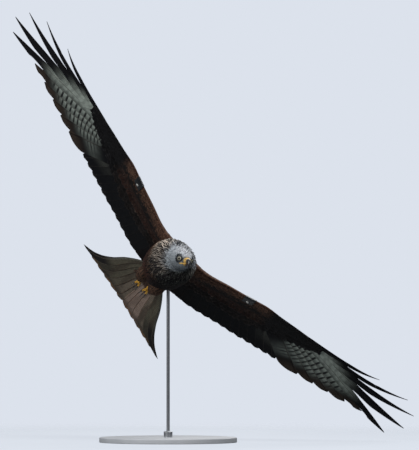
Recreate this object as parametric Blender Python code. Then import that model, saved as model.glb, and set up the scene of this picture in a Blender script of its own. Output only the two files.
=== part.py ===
"""A life-size red kite in a banked glide, on a plain display stand.

The bird is laid out in its own frame: f runs forward along the trunk, l to the bird's left, u to its
back, from a point midway between the shoulders. That frame is then set in the row frame, where the
bird flies towards -Y with its left wing low. A wing is a sheet over its plan in f and l, whose height
comes from the dihedral and the camber; each long feather is a blade about its own bowed shaft.
Sizes are in metres, angles in degrees.
"""

import math

import bmesh
import bpy
import numpy as np
from mathutils import Matrix, Vector

# Where the bird is in the row frame: the point between the shoulders, and how the bird is turned
SHOULDERS = np.array([0.0413, -0.060, 0.5239])
NOSE_UP_TO_EYE = 26.0  # how far the trunk points away from straight ahead
ROLL_SIDE = 43.2  # which way it points then, above the horizon

# Stand: the middle of its base's underside is the origin, and its rod runs up the Z axis into the trunk
BASE_RADIUS = 0.19
BASE_HEIGHT = 0.014
BASE_EDGE = 0.003
ROD_RADIUS = 0.0045
SOCKET_DEPTH = 0.030
COLLAR_RADIUS = 0.012
COLLAR_HEIGHT = 0.016
COLLAR_EDGE = 0.002

# Trunk: distance forward, half width, height of the back and depth of the belly about its axis
AXIS_U = -0.034
BODY_YAW = 0.050  # sideways run of the trunk for each metre aft
TRUNK_F = (-0.215, -0.190, -0.160, -0.125, -0.085, -0.045, -0.010, 0.018)
TRUNK_HALF = (0.033, 0.036, 0.043, 0.053, 0.062, 0.067, 0.066, 0.060)
TRUNK_BACK = (0.010, 0.014, 0.022, 0.033, 0.044, 0.053, 0.056, 0.053)
TRUNK_BELLY = (0.010, 0.015, 0.027, 0.048, 0.065, 0.073, 0.073, 0.066)
TRUNK_RISE = (0.014, 0.010, 0.005, 0.002, 0.000, 0.000, 0.000, -0.002)
BODY_SIDES = 20
TAIL_CUT_F, NECK_CUT_F = -0.130, 0.012
TRUNK_RINGS = np.linspace(TAIL_CUT_F, NECK_CUT_F, 9)
TAIL_BASE_RINGS = np.linspace(TRUNK_F[0], TAIL_CUT_F - 0.0003, 5)

# Head: midway between the eyes in the bird's frame, and how it is turned
HEAD_AT = (0.071, 0.018, -0.045)
HEAD_YAW, HEAD_PITCH, HEAD_ROLL = 17.0, 3.0, 12.6
HEAD_X = (-0.034, -0.020, -0.008, 0.004, 0.012, 0.0205)
HEAD_HALF = (0.0300, 0.0275, 0.0250, 0.0215, 0.0175, 0.0120)
HEAD_CROWN = (0.0235, 0.0235, 0.0220, 0.0185, 0.0145, 0.0085)
HEAD_CHIN = (0.0320, 0.0280, 0.0245, 0.0215, 0.0190, 0.0155)
EYE_RADIUS = 0.0085
EYE_AT = (0.0030, 0.0150, 0.0010)

# Bill: for each part, distance forward, half width, top and bottom of its sections, and how they lean
CERE_X, CERE_HALF = (0.0208, 0.0260, 0.0315), (0.0095, 0.0085, 0.0073)
CERE_TOP, CERE_LOW = (0.0070, 0.0078, 0.0072), (-0.0085, -0.0083, -0.0080)
UPPER_X = (0.0318, 0.037, 0.042, 0.0465, 0.0500, 0.0520)
UPPER_HALF = (0.0070, 0.0062, 0.0052, 0.0040, 0.0026, 0.0010)
UPPER_TOP = (0.0070, 0.0058, 0.0032, -0.0010, -0.0070, -0.0140)
UPPER_LOW = (-0.0080, -0.0082, -0.0086, -0.0100, -0.0128, -0.0180)
UPPER_LEAN = (0.0, 0.0, -0.05, -0.15, -0.25, -0.15)
LOWER_X, LOWER_HALF = (0.0208, 0.028, 0.036, 0.0415), (0.0078, 0.0068, 0.0052, 0.0028)
LOWER_TOP, LOWER_LOW = (-0.0092, -0.0090, -0.0092, -0.0104), (-0.0150, -0.0150, -0.0146, -0.0130)

# Wing plan, for l from the trunk outwards
ARM_DIHEDRAL, HAND_DIHEDRAL = 14.0, 9.5
WRIST_L, BEND_WIDTH = 0.272, 0.05
ROOT_L, ROOT_U = 0.045, 0.005
FINGER_RISE = 0.5
LEADING_L = (0.045, 0.060, 0.090, 0.150, 0.215, 0.272, 0.310, 0.380, 0.450, 0.530)
LEADING_F = (-0.010, -0.016, -0.020, -0.004, 0.012, 0.030, 0.029, 0.035, 0.038, 0.028)
TRAILING_L = (0.045, 0.075, 0.130, 0.180, 0.225, 0.262, 0.300, 0.335, 0.385, 0.450, 0.660)
TRAILING_F = (-0.242, -0.248, -0.258, -0.252, -0.244, -0.241, -0.232, -0.224, -0.210, -0.196, -0.150)
COVERT_L = (0.045, 0.150, 0.220, 0.272, 0.330, 0.400, 0.440, 0.470)
COVERT_F = (-0.130, -0.134, -0.126, -0.110, -0.080, -0.043, -0.014, 0.018)
ELBOW_L, HAND_END_L = 0.150, 0.462
NOSE_THICKNESS, ROOT_THICKNESS, HAND_THICKNESS = 0.0008, 0.026, 0.007
CAMBER = 0.040

# Long feathers of the hand, from the innermost: shaft root and tip in plan, and how far the tip rises
PRIMARY_ROOT_L = (0.285, 0.297, 0.309, 0.321, 0.334, 0.348, 0.362, 0.376, 0.388, 0.396)
PRIMARY_ROOT_F = (-0.006, -0.004, -0.001, 0.002, 0.006, 0.010, 0.015, 0.019, 0.024, 0.028)
PRIMARY_TIP_L = {
    -1: (0.450, 0.497, 0.540, 0.590, 0.664, 0.771, 0.795, 0.774, 0.722, 0.627),
    1: (0.450, 0.497, 0.540, 0.590, 0.660, 0.748, 0.775, 0.767, 0.722, 0.627),
}
PRIMARY_TIP_F = {
    -1: (-0.196, -0.180, -0.165, -0.155, -0.140, -0.178, -0.121, -0.030, 0.012, 0.030),
    1: (-0.196, -0.180, -0.165, -0.155, -0.143, -0.180, -0.113, -0.032, 0.012, 0.030),
}
PRIMARY_RISE = {
    -1: (0, 0, 0, 0, 0, 0, 0, 0.004, 0.023, 0.031),
    1: (0, 0, 0, 0, 0.003, -0.002, 0.008, 0.020, 0.035, 0.033),
}
# The free ones again: the bow of the shaft, where each edge leaves its neighbour, and the vanes from there
BOW = (0.012, 0.030, 0.025, 0.012, 0.008, 0.010)
NOTCH_AHEAD = (0.80, 0.62, 0.55, 0.485, 0.42, 0.20)
NOTCH_BEHIND = (0.95, 0.74, 0.61, 0.57, 0.545, 0.57)
VANE_AHEAD = (0.014, 0.013, 0.012, 0.010, 0.008, 0.007)
VANE_BEHIND = (0.036, 0.033, 0.033, 0.022, 0.014, 0.010)
NOTCH_RUN, TAPER_RUN = 0.05, 0.36
BLADE_ROWS = (0.16, 0.30, 0.84, 0.93, 1.0)
BLADE_GAP, BLADE_START_GAP = 0.0012, 0.0020
FIRST_FREE = 4  # index of the innermost feather that is a blade of its own
SECONDARIES = 13
SCALLOP = 0.004
FEATHER_THICKNESS = 0.0010
GAP = 0.0003

# Tail: a fan of twelve feathers; its outer edge for distances back from its root
TAIL_ROOT_F, TAIL_LENGTH = -0.190, 0.300
TAIL_U, TAIL_RISE = -0.026, 0.018
TAIL_TWIST = 11.5
TAIL_YAW = -0.020
TAIL_BACK = (0.0, 0.040, 0.092, 0.186, 0.240, 0.270, 0.300)
TAIL_EDGE = (0.052, 0.070, 0.0895, 0.1175, 0.141, 0.161, 0.193)
TAIL_BULGE = 0.007
TAIL_PAIRS = 6
TAIL_ROWS = (0.02, 0.16, 0.34, 0.56, 0.76, 0.92, 1.0)
TIP_ROUND = 0.005

# Legs, folded back under the tail
THIGH_SIDE, FOOT_SIDE = (0.030, 0.027, 0.024, 0.020), 0.015
THIGH_F, THIGH_U = (-0.062, -0.088, -0.114, -0.136), (-0.074, -0.086, -0.086, -0.077)
THIGH_RADII = (0.014, 0.020, 0.017, 0.009)
FOOT_F, FOOT_U = -0.174, -0.068
HEEL_GAP = 0.0015
TARSUS_RADIUS, ANKLE_SWELL, TOE_RADIUS = 0.0045, 0.0012, 0.0036
TOE_TURNS, TOE_DROOPS = (-14.0, 0.0, 16.0, 180.0), (4.0, 2.0, 6.0, 62.0)
TOE_LENGTHS, TOE_BEND = (0.027, 0.033, 0.025, 0.019), 22.0
CLAW_LENGTH, CLAW_BEND, CLAW_RADIUS = 0.016, 62.0, 0.0021

# Tag on each wing's leading edge
TAG_L, TAG_WIDTH, TAG_THICKNESS = 0.221, 0.030, 0.0010
TAG_BELOW, TAG_ABOVE = 0.026, 0.034

SIDES = {"right": -1, "left": 1}


def bird_axes():
    """The bird's forward, left and back directions in the row frame."""
    away, turn = math.radians(NOSE_UP_TO_EYE), math.radians(ROLL_SIDE)
    forward = np.array([math.sin(away) * math.cos(turn), -math.cos(away), math.sin(away) * math.sin(turn)])
    left = np.array([math.sin(turn), 0.0, -math.cos(turn)])
    return forward, left, np.cross(forward, left)


FORWARD, LEFT, BACK = bird_axes()


def placed(f, l, u):
    """Points of the bird's frame in the row frame."""
    f, l, u = np.broadcast_arrays(f, l, u)
    return SHOULDERS + f[..., None] * FORWARD + l[..., None] * LEFT + u[..., None] * BACK


def curve_through(x, xs, ys):
    """A smooth curve through the points (xs, ys), read at x."""
    xs, ys = np.asarray(xs, float), np.asarray(ys, float)
    slope = np.gradient(ys, xs)
    i = np.clip(np.searchsorted(xs, x) - 1, 0, len(xs) - 2)
    span = xs[i + 1] - xs[i]
    t = np.clip((x - xs[i]) / span, 0, 1)
    low = (2 * t**3 - 3 * t**2 + 1) * ys[i] + (t**3 - 2 * t**2 + t) * span * slope[i]
    return low + (3 * t**2 - 2 * t**3) * ys[i + 1] + (t**3 - t**2) * span * slope[i + 1]


def material(name, colour, roughness, metallic=0.0):
    made = bpy.data.materials.new(name)
    made.use_nodes = True
    shader = made.node_tree.nodes["Principled BSDF"]
    shader.inputs["Base Color"].default_value = (*colour, 1.0)
    shader.inputs["Roughness"].default_value = roughness
    shader.inputs["Metallic"].default_value = metallic
    return made


def finish(name, bm, surface, smooth=True):
    """Makes the node NAME from a closed bmesh."""
    bmesh.ops.recalc_face_normals(bm, faces=bm.faces)
    mesh = bpy.data.meshes.new(name)
    bm.to_mesh(mesh)
    bm.free()
    mesh.materials.append(surface)
    if smooth:
        mesh.shade_smooth()
    made = bpy.data.objects.new(name, mesh)
    bpy.context.scene.collection.objects.link(made)
    return made


def tube(name, rings, surface):
    """A closed loft through rings of points, each an array of n points, with a fan at each end."""
    bm = bmesh.new()
    rows = [[bm.verts.new(p) for p in ring] for ring in rings]
    n = len(rows[0])
    for low, high in zip(rows[:-1], rows[1:]):
        for i in range(n):
            bm.faces.new((low[i], low[(i + 1) % n], high[(i + 1) % n], high[i]))
    for row, ring in ((rows[0], rings[0]), (rows[-1], rings[-1])):
        middle = bm.verts.new(np.mean(ring, axis=0))
        for i in range(n):
            bm.faces.new((row[i], row[(i + 1) % n], middle))
    return finish(name, bm, surface)


def slab(name, top, bottom, surface):
    """A closed sheet between two grids of points, both m by n, with walls along their edges."""
    m, n = top.shape[:2]
    bm = bmesh.new()
    upper = [[bm.verts.new(top[i, j]) for j in range(n)] for i in range(m)]
    lower = [[bm.verts.new(bottom[i, j]) for j in range(n)] for i in range(m)]
    for i in range(m - 1):
        for j in range(n - 1):
            for grid in (upper, lower):
                bm.faces.new((grid[i][j], grid[i + 1][j], grid[i + 1][j + 1], grid[i][j + 1]))
    rim = [(i, 0) for i in range(m)] + [(m - 1, j) for j in range(1, n)]
    rim += [(i, n - 1) for i in range(m - 2, -1, -1)] + [(0, j) for j in range(n - 2, 0, -1)]
    for (a, b), (c, d) in zip(rim, rim[1:] + rim[:1]):
        bm.faces.new((upper[a][b], upper[c][d], lower[c][d], lower[a][b]))
    return finish(name, bm, surface)


def cut_by(piece, cutter):
    """Takes the cutter's shape out of the piece, and applies the cut."""
    modifier = piece.modifiers.new("cut", "BOOLEAN")
    modifier.operation = "DIFFERENCE"
    modifier.object = cutter
    graph = bpy.context.evaluated_depsgraph_get()
    mesh = bpy.data.meshes.new_from_object(piece.evaluated_get(graph))
    piece.modifiers.clear()
    piece.data = mesh


def as_cutter(made):
    made.hide_render = True
    made.display_type = "WIRE"
    return made


# The trunk and tail base are one loft about a straight axis, parted at TAIL_CUT_F.


def trunk_ring(f, grow=0.0, sides=BODY_SIDES):
    """A section of the trunk: an ellipse whose upper and lower halves differ."""
    angle = np.arange(sides) * 2 * math.pi / sides
    half = curve_through(f, TRUNK_F, TRUNK_HALF) + grow
    back = curve_through(f, TRUNK_F, TRUNK_BACK) + grow
    belly = curve_through(f, TRUNK_F, TRUNK_BELLY) + grow
    rise = AXIS_U + curve_through(f, TRUNK_F, TRUNK_RISE)
    twist = math.radians(TAIL_TWIST) * np.clip((-0.10 - f) / 0.09, 0, 1)
    side, up = half * np.cos(angle), np.where(np.sin(angle) > 0, back, belly) * np.sin(angle)
    l = side * math.cos(twist) + up * math.sin(twist) + BODY_YAW * f
    u = up * math.cos(twist) - side * math.sin(twist) + rise
    return placed(f, l, u)


def trunk_part(name, stations, surface, grow=0.0):
    return tube(name, [trunk_ring(f, grow) for f in stations], surface)


# The head has a frame of its own: x towards the bill, y to its left, z to the crown.


def head_axes():
    yaw, pitch, roll = (math.radians(a) for a in (HEAD_YAW, HEAD_PITCH, HEAD_ROLL))
    turn = Matrix.Rotation(roll, 3, "Y") @ Matrix.Rotation(yaw, 3, "Z") @ Matrix.Rotation(pitch, 3, "X")
    axes = turn @ Matrix(((0, 1, 0), (-1, 0, 0), (0, 0, 1)))
    return np.array(axes).T


HEAD_AXES = head_axes()
HEAD_CENTRE = placed(*HEAD_AT)


def in_head(x, y, z):
    """Points of the head's frame in the row frame."""
    return HEAD_CENTRE + np.stack(np.broadcast_arrays(x, y, z), axis=-1) @ HEAD_AXES


def oval(half, top, bottom, sides=BODY_SIDES, power=1.0):
    """Offsets sideways and upwards round an oval with its own top and bottom; a power under 1 squares it."""
    angle = np.arange(sides) * 2 * math.pi / sides
    side, up = (np.sign(v) * np.abs(v) ** power for v in (np.cos(angle), np.sin(angle)))
    return half * side, np.where(up > 0, top, bottom) * up


def head_ring(x, sides=BODY_SIDES):
    side, up = oval(*(curve_through(x, HEAD_X, v) for v in (HEAD_HALF, HEAD_CROWN, HEAD_CHIN)), sides)
    return in_head(x, side, up)


def neck_rings(count=7):
    """Rings that turn from the trunk's last section to the head's first one, easing out of both."""
    first, last = trunk_ring(NECK_CUT_F + GAP), head_ring(HEAD_X[0])
    trunk_way = FORWARD * 0.034
    head_way = HEAD_AXES[0] * 0.034
    rings = []
    for t in np.linspace(0, 1, count):
        a, b = 2 * t**3 - 3 * t**2 + 1, 3 * t**2 - 2 * t**3
        rings.append(a * first + (t**3 - 2 * t**2 + t) * trunk_way + b * last + (t**3 - t**2) * head_way)
    return rings


def build_body(plumage, rust, pale):
    trunk = trunk_part("trunk", TRUNK_RINGS, plumage)
    trunk_part("tail_base", TAIL_BASE_RINGS, rust)
    tube("neck", neck_rings(), rust)
    xs = np.linspace(HEAD_X[0] + GAP, HEAD_X[-1], 8)
    head = tube("head", [head_ring(x) for x in xs], pale)
    return trunk, head


def build_eyes(head, glass):
    for side_name, side in SIDES.items():
        at = in_head(EYE_AT[0], side * EYE_AT[1], EYE_AT[2])
        for name, grow in ((f"eye_{side_name}", 0.0), (f"cut_eye_{side_name}", GAP)):
            bm = bmesh.new()
            bmesh.ops.create_uvsphere(bm, u_segments=12, v_segments=8, radius=EYE_RADIUS + grow)
            bmesh.ops.translate(bm, verts=bm.verts, vec=Vector(at))
            ball = finish(name, bm, glass)
        cut_by(head, as_cutter(ball))


def bill_section(x, half, top, bottom, lean=0.0, sides=14):
    """One section of the bill, leaning forward at the top by lean."""
    side, up = oval(half, (top - bottom) / 2, (top - bottom) / 2, sides, 0.9)
    middle = (top + bottom) / 2
    return in_head(x + lean * up, side, middle + up)


def bill_part(name, surface, *tables):
    return tube(name, [bill_section(*values) for values in zip(*tables)], surface)


def build_bill(horn, wax):
    bill_part("cere", wax, CERE_X, CERE_HALF, CERE_TOP, CERE_LOW)
    bill_part("bill_upper", horn, UPPER_X, UPPER_HALF, UPPER_TOP, UPPER_LOW, UPPER_LEAN)
    bill_part("bill_lower", wax, LOWER_X, LOWER_HALF, LOWER_TOP, LOWER_LOW)


# The wing is a height over its plan: a dihedral that changes at the wrist, and a camber along the chord.


def dihedral_height(l):
    arm, hand = math.tan(math.radians(ARM_DIHEDRAL)), math.tan(math.radians(HAND_DIHEDRAL))
    bend = (hand - arm) * BEND_WIDTH * np.logaddexp(0, (l - WRIST_L) / BEND_WIDTH)
    return ROOT_U + arm * (l - ROOT_L) + bend + FINGER_RISE * np.clip(l - 0.55, 0, None) ** 2


def leading(l):
    return curve_through(l, LEADING_L, LEADING_F)


def trailing(l):
    return curve_through(l, TRAILING_L, TRAILING_F)


def covert_line(l):
    return curve_through(l, COVERT_L, COVERT_F)


def middle_height(f, l):
    """Height of the wing's middle surface over the point (f, l) of its plan."""
    share = np.clip((leading(l) - f) / (leading(l) - trailing(l)), 0, 1)
    fade = np.clip((0.60 - l) / 0.30, 0, 1)
    return dihedral_height(l) + CAMBER * fade * (leading(l) - trailing(l)) * 4 * share * (1 - share)


def arm_thickness(share, l):
    """Thickness of the covered arm, for share 0 at the leading edge to 1 at the covert line."""
    out = np.clip((l - ROOT_L) / (HAND_END_L - ROOT_L), 0, 1)
    most = ROOT_THICKNESS + (HAND_THICKNESS - ROOT_THICKNESS) * out**0.75
    rear = 0.0045 - 0.0028 * out
    nose = np.sin(np.clip(share / 0.22, 0, 1) * math.pi / 2) ** 0.8
    body = 1 - np.clip((share - 0.22) / 0.78, 0, 1)
    fall = body * body * (3 - 2 * body)
    return np.maximum(NOSE_THICKNESS, np.where(share < 0.22, most * nose, rear + (most - rear) * fall))


def arm_part(name, side, low, high, surface, count):
    """The covered part of the wing between two distances from the trunk."""
    l = np.linspace(low, high, count)[:, None]
    share = np.array([0, 0.015, 0.06, 0.14, 0.28, 0.50, 0.75, 1.0])[None, :]
    f = leading(l) + (covert_line(l) - leading(l)) * share
    middle, half = middle_height(f, l), arm_thickness(share, l) / 2
    l = side * np.broadcast_to(l, f.shape)
    return slab(name, placed(f, l, middle + half), placed(f, l, middle - half), surface)


def feather_sheet(name, side, roots, tips, thick, surface):
    """A sheet of joined feathers between a line of roots and a line of tips, both n by (f, l)."""
    t = np.array([0.0, 0.35, 0.75, 1.0])[:, None]
    f = roots[:, 0] + (tips[:, 0] - roots[:, 0]) * t
    l = roots[:, 1] + (tips[:, 1] - roots[:, 1]) * t
    middle = middle_height(f, l)
    half = (thick + (FEATHER_THICKNESS - thick) * t) / 2
    return slab(name, placed(f, side * l, middle + half), placed(f, side * l, middle - half), surface)


def behind_coverts(l):
    return np.stack([covert_line(l) - GAP, l], axis=1)


def scalloped(tips, count, depth):
    """Draws each joint between neighbouring feathers in from the line of the tips, but not the two ends."""
    share = np.linspace(0, 1, len(tips)) * count
    inset = depth * (2 * np.abs(share - np.floor(share) - 0.5)) ** 2
    inset *= np.clip(2 * np.minimum(share, count - share), 0, 1)
    return tips + np.stack([inset, np.zeros(len(tips))], axis=1)


BORDER_ROOT_L, BORDER_TIP_L = 0.318, 0.392  # between the arm's and the hand's long feathers
FREE_ROOT_L, FREE_TIP = 0.385, (-0.141, 0.612)  # between the joined and the free feathers of the hand


def build_arm_sheets(name, side, surface):
    q = np.linspace(0, 1, 2 * SECONDARIES + 1)
    roots = behind_coverts(0.048 + (BORDER_ROOT_L - GAP - 0.048) * q)
    tip_l = 0.050 + (BORDER_TIP_L - GAP - 0.050) * q
    tips = scalloped(np.stack([trailing(tip_l), tip_l], axis=1), SECONDARIES, SCALLOP)
    return feather_sheet(f"wing_{name}_secondaries", side, roots, tips, 0.004, surface)


def build_hand_sheet(name, side, surface):
    """The four inner feathers of the hand, whose tips step outwards."""
    q = np.linspace(0, 1, 4 * FIRST_FREE + 1)
    roots = behind_coverts(BORDER_ROOT_L + (FREE_ROOT_L - GAP - BORDER_ROOT_L) * q)
    at = [0, 0.12, 0.37, 0.62, 0.87, 1]
    tip_l = np.interp(q, at, [BORDER_TIP_L, *PRIMARY_TIP_L[side][:FIRST_FREE], FREE_TIP[1] - GAP])
    tip_f = np.interp(q, at, [trailing(BORDER_TIP_L), *PRIMARY_TIP_F[side][:FIRST_FREE], FREE_TIP[0]])
    tips = scalloped(np.stack([tip_f, tip_l], axis=1), FIRST_FREE, 0.012)
    return feather_sheet(f"wing_{name}_primaries_1_4", side, roots, tips, 0.003, surface)


def shaft(i, side, t):
    """Points along the shaft of one long feather of the hand, in plan: a bowed line from root to tip."""
    root, run, ahead = shaft_run(i, side)
    return root + run * t + ahead * BOW[i - FIRST_FREE] * 4 * t * (1 - t)


def shaft_run(i, side):
    """Root of a shaft, its run to the tip, and the forward direction square to it."""
    root = np.array([PRIMARY_ROOT_F[i], PRIMARY_ROOT_L[i]])
    run = np.array([PRIMARY_TIP_F[side][i], PRIMARY_TIP_L[side][i]]) - root
    return root, run, np.array([run[1], -run[0]]) / np.hypot(*run)


def shaft_length(i, side):
    return np.hypot(*shaft_run(i, side)[1])


def border_with(j, i, side, t):
    """The line half way between feather i, read at its own shares t, and its neighbour j."""
    along = np.minimum(t * shaft_length(i, side) / shaft_length(j, side), 1)
    return (shaft(i, side, t) + shaft(j, side, along)) / 2


def free_border(t):
    """The line that parts the joined feathers of the hand from the free ones, in plan."""
    root = np.array([covert_line(FREE_ROOT_L), FREE_ROOT_L])
    return root + (np.array(FREE_TIP) - root) * t


def vane_edge(along, border, outward, vane, notch, t):
    """One edge of a feather: on its border up to the notch, then at the vane's width, tapering to the tip."""
    reach = border - along
    room = np.linalg.norm(reach, axis=1, keepdims=True)
    clear = np.maximum(room - BLADE_GAP / 2, FEATHER_THICKNESS / 2)
    past = np.clip((t - notch) / NOTCH_RUN, 0, 1)
    width = np.minimum(vane * np.clip((1 - t) / TAPER_RUN, 0.02, 1) ** 0.75, clear)
    return along + reach / room * clear * (1 - past) + outward * width * past


def blade_plan(i, side, t):
    """The leading edge, shaft and trailing edge of one free feather of the hand, in plan."""
    k = i - FIRST_FREE
    along = shaft(i, side, t)
    ahead = shaft_run(i, side)[2]
    front = border_with(i + 1, i, side, t) if i < 9 else along + ahead * VANE_AHEAD[k]
    rear = border_with(i - 1, i, side, t) if i > FIRST_FREE else free_border(t)
    first = vane_edge(along, front, ahead, VANE_AHEAD[k], NOTCH_AHEAD[k], t)
    return first, along, vane_edge(along, rear, -ahead, VANE_BEHIND[k], NOTCH_BEHIND[k], t)


def leaves_hand(line, t):
    """The share t at which a line of plan points comes out of the covered hand."""
    f, l = line.T
    covered = (l < HAND_END_L + BLADE_START_GAP) & (f > covert_line(l) - BLADE_START_GAP)
    return t[np.flatnonzero(covered)[-1] + 1]


def build_blade(name, side, i, surface):
    """One free feather of the hand: a blade whose edges follow its neighbours up to the notches."""
    notches = (NOTCH_AHEAD[i - FIRST_FREE], NOTCH_BEHIND[i - FIRST_FREE])
    rows = {*BLADE_ROWS, *notches, *(n + NOTCH_RUN for n in notches)}
    rows = np.array(sorted(rows))[:, None]
    fine = np.linspace(0, 1, 401)[:, None]
    plan = []
    for n, line in enumerate(blade_plan(i, side, fine)):
        start = leaves_hand(line, fine)
        plan.append(blade_plan(i, side, start + (1 - start) * (rows - rows[0]) / (1 - rows[0]))[n])
    f, l = np.stack(plan, axis=1).transpose(2, 0, 1)
    middle = middle_height(f, l) + PRIMARY_RISE[side][i] * rows**3
    half = np.array([0.5, 1.0, 0.5])[None, :] * FEATHER_THICKNESS * (1.4 - 0.6 * rows)
    top, bottom = placed(f, side * l, middle + half), placed(f, side * l, middle - half)
    slab(f"wing_{name}_primary_{i + 1:02d}", top, bottom, surface)


def build_tag(name, side, surface):
    """A strap over the leading edge: flat below and above the wing, round its nose in front."""
    run = np.concatenate([-np.linspace(TAG_BELOW, 0.004, 4), [0], np.linspace(0.004, TAG_ABOVE, 4)])
    l = TAG_L + np.linspace(-0.5, 0.5, 3)[None, :] * TAG_WIDTH
    behind = np.abs(run)[:, None]
    f = leading(l) - behind
    share = behind / (leading(l) - covert_line(l))
    half = arm_thickness(share, l) / 2
    upward = np.sign(run)[:, None]
    inner, outer = [], []
    for away, rows in ((GAP * 2, inner), (GAP * 2 + TAG_THICKNESS, outer)):
        nose = np.where(upward == 0, away + 0.0012, 0)
        height = middle_height(f, l) + upward * (half + away)
        rows.append(placed(f + nose + np.where(behind < 0.005, away, 0), side * l, height))
    return slab(f"wing_tag_{name}", outer[0], inner[0], surface)


def build_wing(name, side, body_cutter, materials):
    coverts, flight, black, tag = materials
    upper_arm = arm_part(f"wing_{name}_upper_arm", side, 0.040, ELBOW_L - GAP, coverts, 7)
    arm_part(f"wing_{name}_forearm", side, ELBOW_L, WRIST_L - GAP, coverts, 6)
    arm_part(f"wing_{name}_hand", side, WRIST_L, HAND_END_L, coverts, 9)
    secondaries = build_arm_sheets(name, side, flight)
    for piece in (upper_arm, secondaries):
        cut_by(piece, body_cutter)
    build_hand_sheet(name, side, flight)
    for i in range(FIRST_FREE, 10):
        build_blade(name, side, i, black)
    build_tag(name, side, tag)


def in_tail(back, across, up):
    """Points of the tail's own plane: back from its root, across to the bird's left, and up."""
    twist = math.radians(TAIL_TWIST)
    across = across - TAIL_YAW * back
    l = across * math.cos(twist) + up * math.sin(twist)
    u = up * math.cos(twist) - across * math.sin(twist)
    f = TAIL_ROOT_F - back
    return placed(f, l + BODY_YAW * f, u + TAIL_U + TAIL_RISE * back / TAIL_LENGTH)


def build_tail_feather(k, side, body_cutter, surface):
    """One feather of the fan, the k-th from its middle: a sector, rounded at the corners of its tip."""
    tip = np.array(TAIL_ROWS)[:, None]
    share = np.array([0.0, 0.5, 1.0])[None, :]
    whole = TAIL_LENGTH + TAIL_BULGE * (1 - ((k + share) / TAIL_PAIRS) ** 2)
    rounded = (2 * share - 1) ** 2 * (k + share < TAIL_PAIRS)
    back = tip * whole - TIP_ROUND * tip**8 * rounded
    edge = curve_through(back, TAIL_BACK, TAIL_EDGE)
    spread = edge * (k + share) / TAIL_PAIRS + GAP * (1 - 2 * share)
    half = np.where(share == 0.5, 1.0, 0.5) * FEATHER_THICKNESS * (1.3 - 0.5 * tip)
    side_name = "left" if side > 0 else "right"
    top, bottom = in_tail(back, side * spread, half), in_tail(back, side * spread, -half)
    made = slab(f"tail_{side_name}_feather_{k + 1}", top, bottom, surface)
    cut_by(made, body_cutter)


def rounded_tube(name, path, radii, surface, sides=10):
    """A tube about a path of points with its own radius at each."""
    path = np.asarray(path, float)
    ways = np.gradient(path, axis=0)
    across = np.cross(ways[0], BACK)
    rings = []
    angle = np.arange(sides) * 2 * math.pi / sides
    for point, way, radius in zip(path, ways, radii):
        way = way / np.linalg.norm(way)
        across = across - way * (across @ way)
        across /= np.linalg.norm(across)
        other = np.cross(way, across)
        rings.append(point + radius * (np.cos(angle)[:, None] * across + np.sin(angle)[:, None] * other))
    return tube(name, rings, surface)


def joined(first, second):
    """One body from two that overlap."""
    modifier = first.modifiers.new("join", "BOOLEAN")
    modifier.operation = "UNION"
    modifier.object = second
    graph = bpy.context.evaluated_depsgraph_get()
    mesh = bpy.data.meshes.new_from_object(first.evaluated_get(graph))
    first.modifiers.clear()
    first.data = mesh
    bpy.data.objects.remove(second)
    return first


def toe_path(start, turn, droop, bend, length, side):
    """Points along a toe or claw, in f, l and u: it leaves at the turn and droop, and bends downwards."""
    t = np.linspace(0, 1, 5)
    down = np.radians(droop + bend * t)
    turn = math.radians(turn)
    flat = np.cos(down)
    way = np.stack([-flat * math.cos(turn), side * flat * math.sin(turn), -np.sin(down)], axis=1)
    steps = (way[1:] + way[:-1]) / 2 * length / 4
    return start + np.concatenate([np.zeros((1, 3)), np.cumsum(steps, axis=0)])


def build_leg(name, side, body_cutter, materials):
    """Feathered thigh, bare foot with three toes forward and one behind, and four claws."""
    feathers, skin, horn = materials
    path = np.stack([THIGH_F, side * np.array(THIGH_SIDE) + BODY_YAW * np.array(THIGH_F), THIGH_U], axis=1)
    thigh = rounded_tube(f"leg_{name}_thigh", placed(*path.T), THIGH_RADII, feathers, 10)
    cut_by(thigh, body_cutter)
    way = path[-1] - path[-2]
    heel = path[-1] + way / np.linalg.norm(way) * HEEL_GAP
    ball = np.array([FOOT_F, side * FOOT_SIDE + BODY_YAW * FOOT_F, FOOT_U])
    steps = np.linspace(0, 1, 5)[:, None]
    radii = TARSUS_RADIUS + ANKLE_SWELL * (2 * steps[:, 0] - 1) ** 2
    foot = rounded_tube(f"leg_{name}_foot", placed(*(heel + (ball - heel) * steps).T), radii, skin, 8)
    for n, (turn, droop, length) in enumerate(zip(TOE_TURNS, TOE_DROOPS, TOE_LENGTHS)):
        path = toe_path(ball, turn, droop, TOE_BEND, length, side)
        toe = rounded_tube("toe", placed(*path.T), TOE_RADIUS * np.linspace(1, 0.75, 5), skin, 6)
        foot = joined(foot, toe)
        way = path[-1] - path[-2]
        start = path[-1] + way / np.linalg.norm(way) * 2 * GAP
        path = toe_path(start, turn, droop + TOE_BEND, CLAW_BEND, CLAW_LENGTH, side)
        radii = CLAW_RADIUS * np.linspace(1, 0.15, 5)
        rounded_tube(f"leg_{name}_claw_{n + 1}", placed(*path.T), radii, horn, 5)


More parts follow.
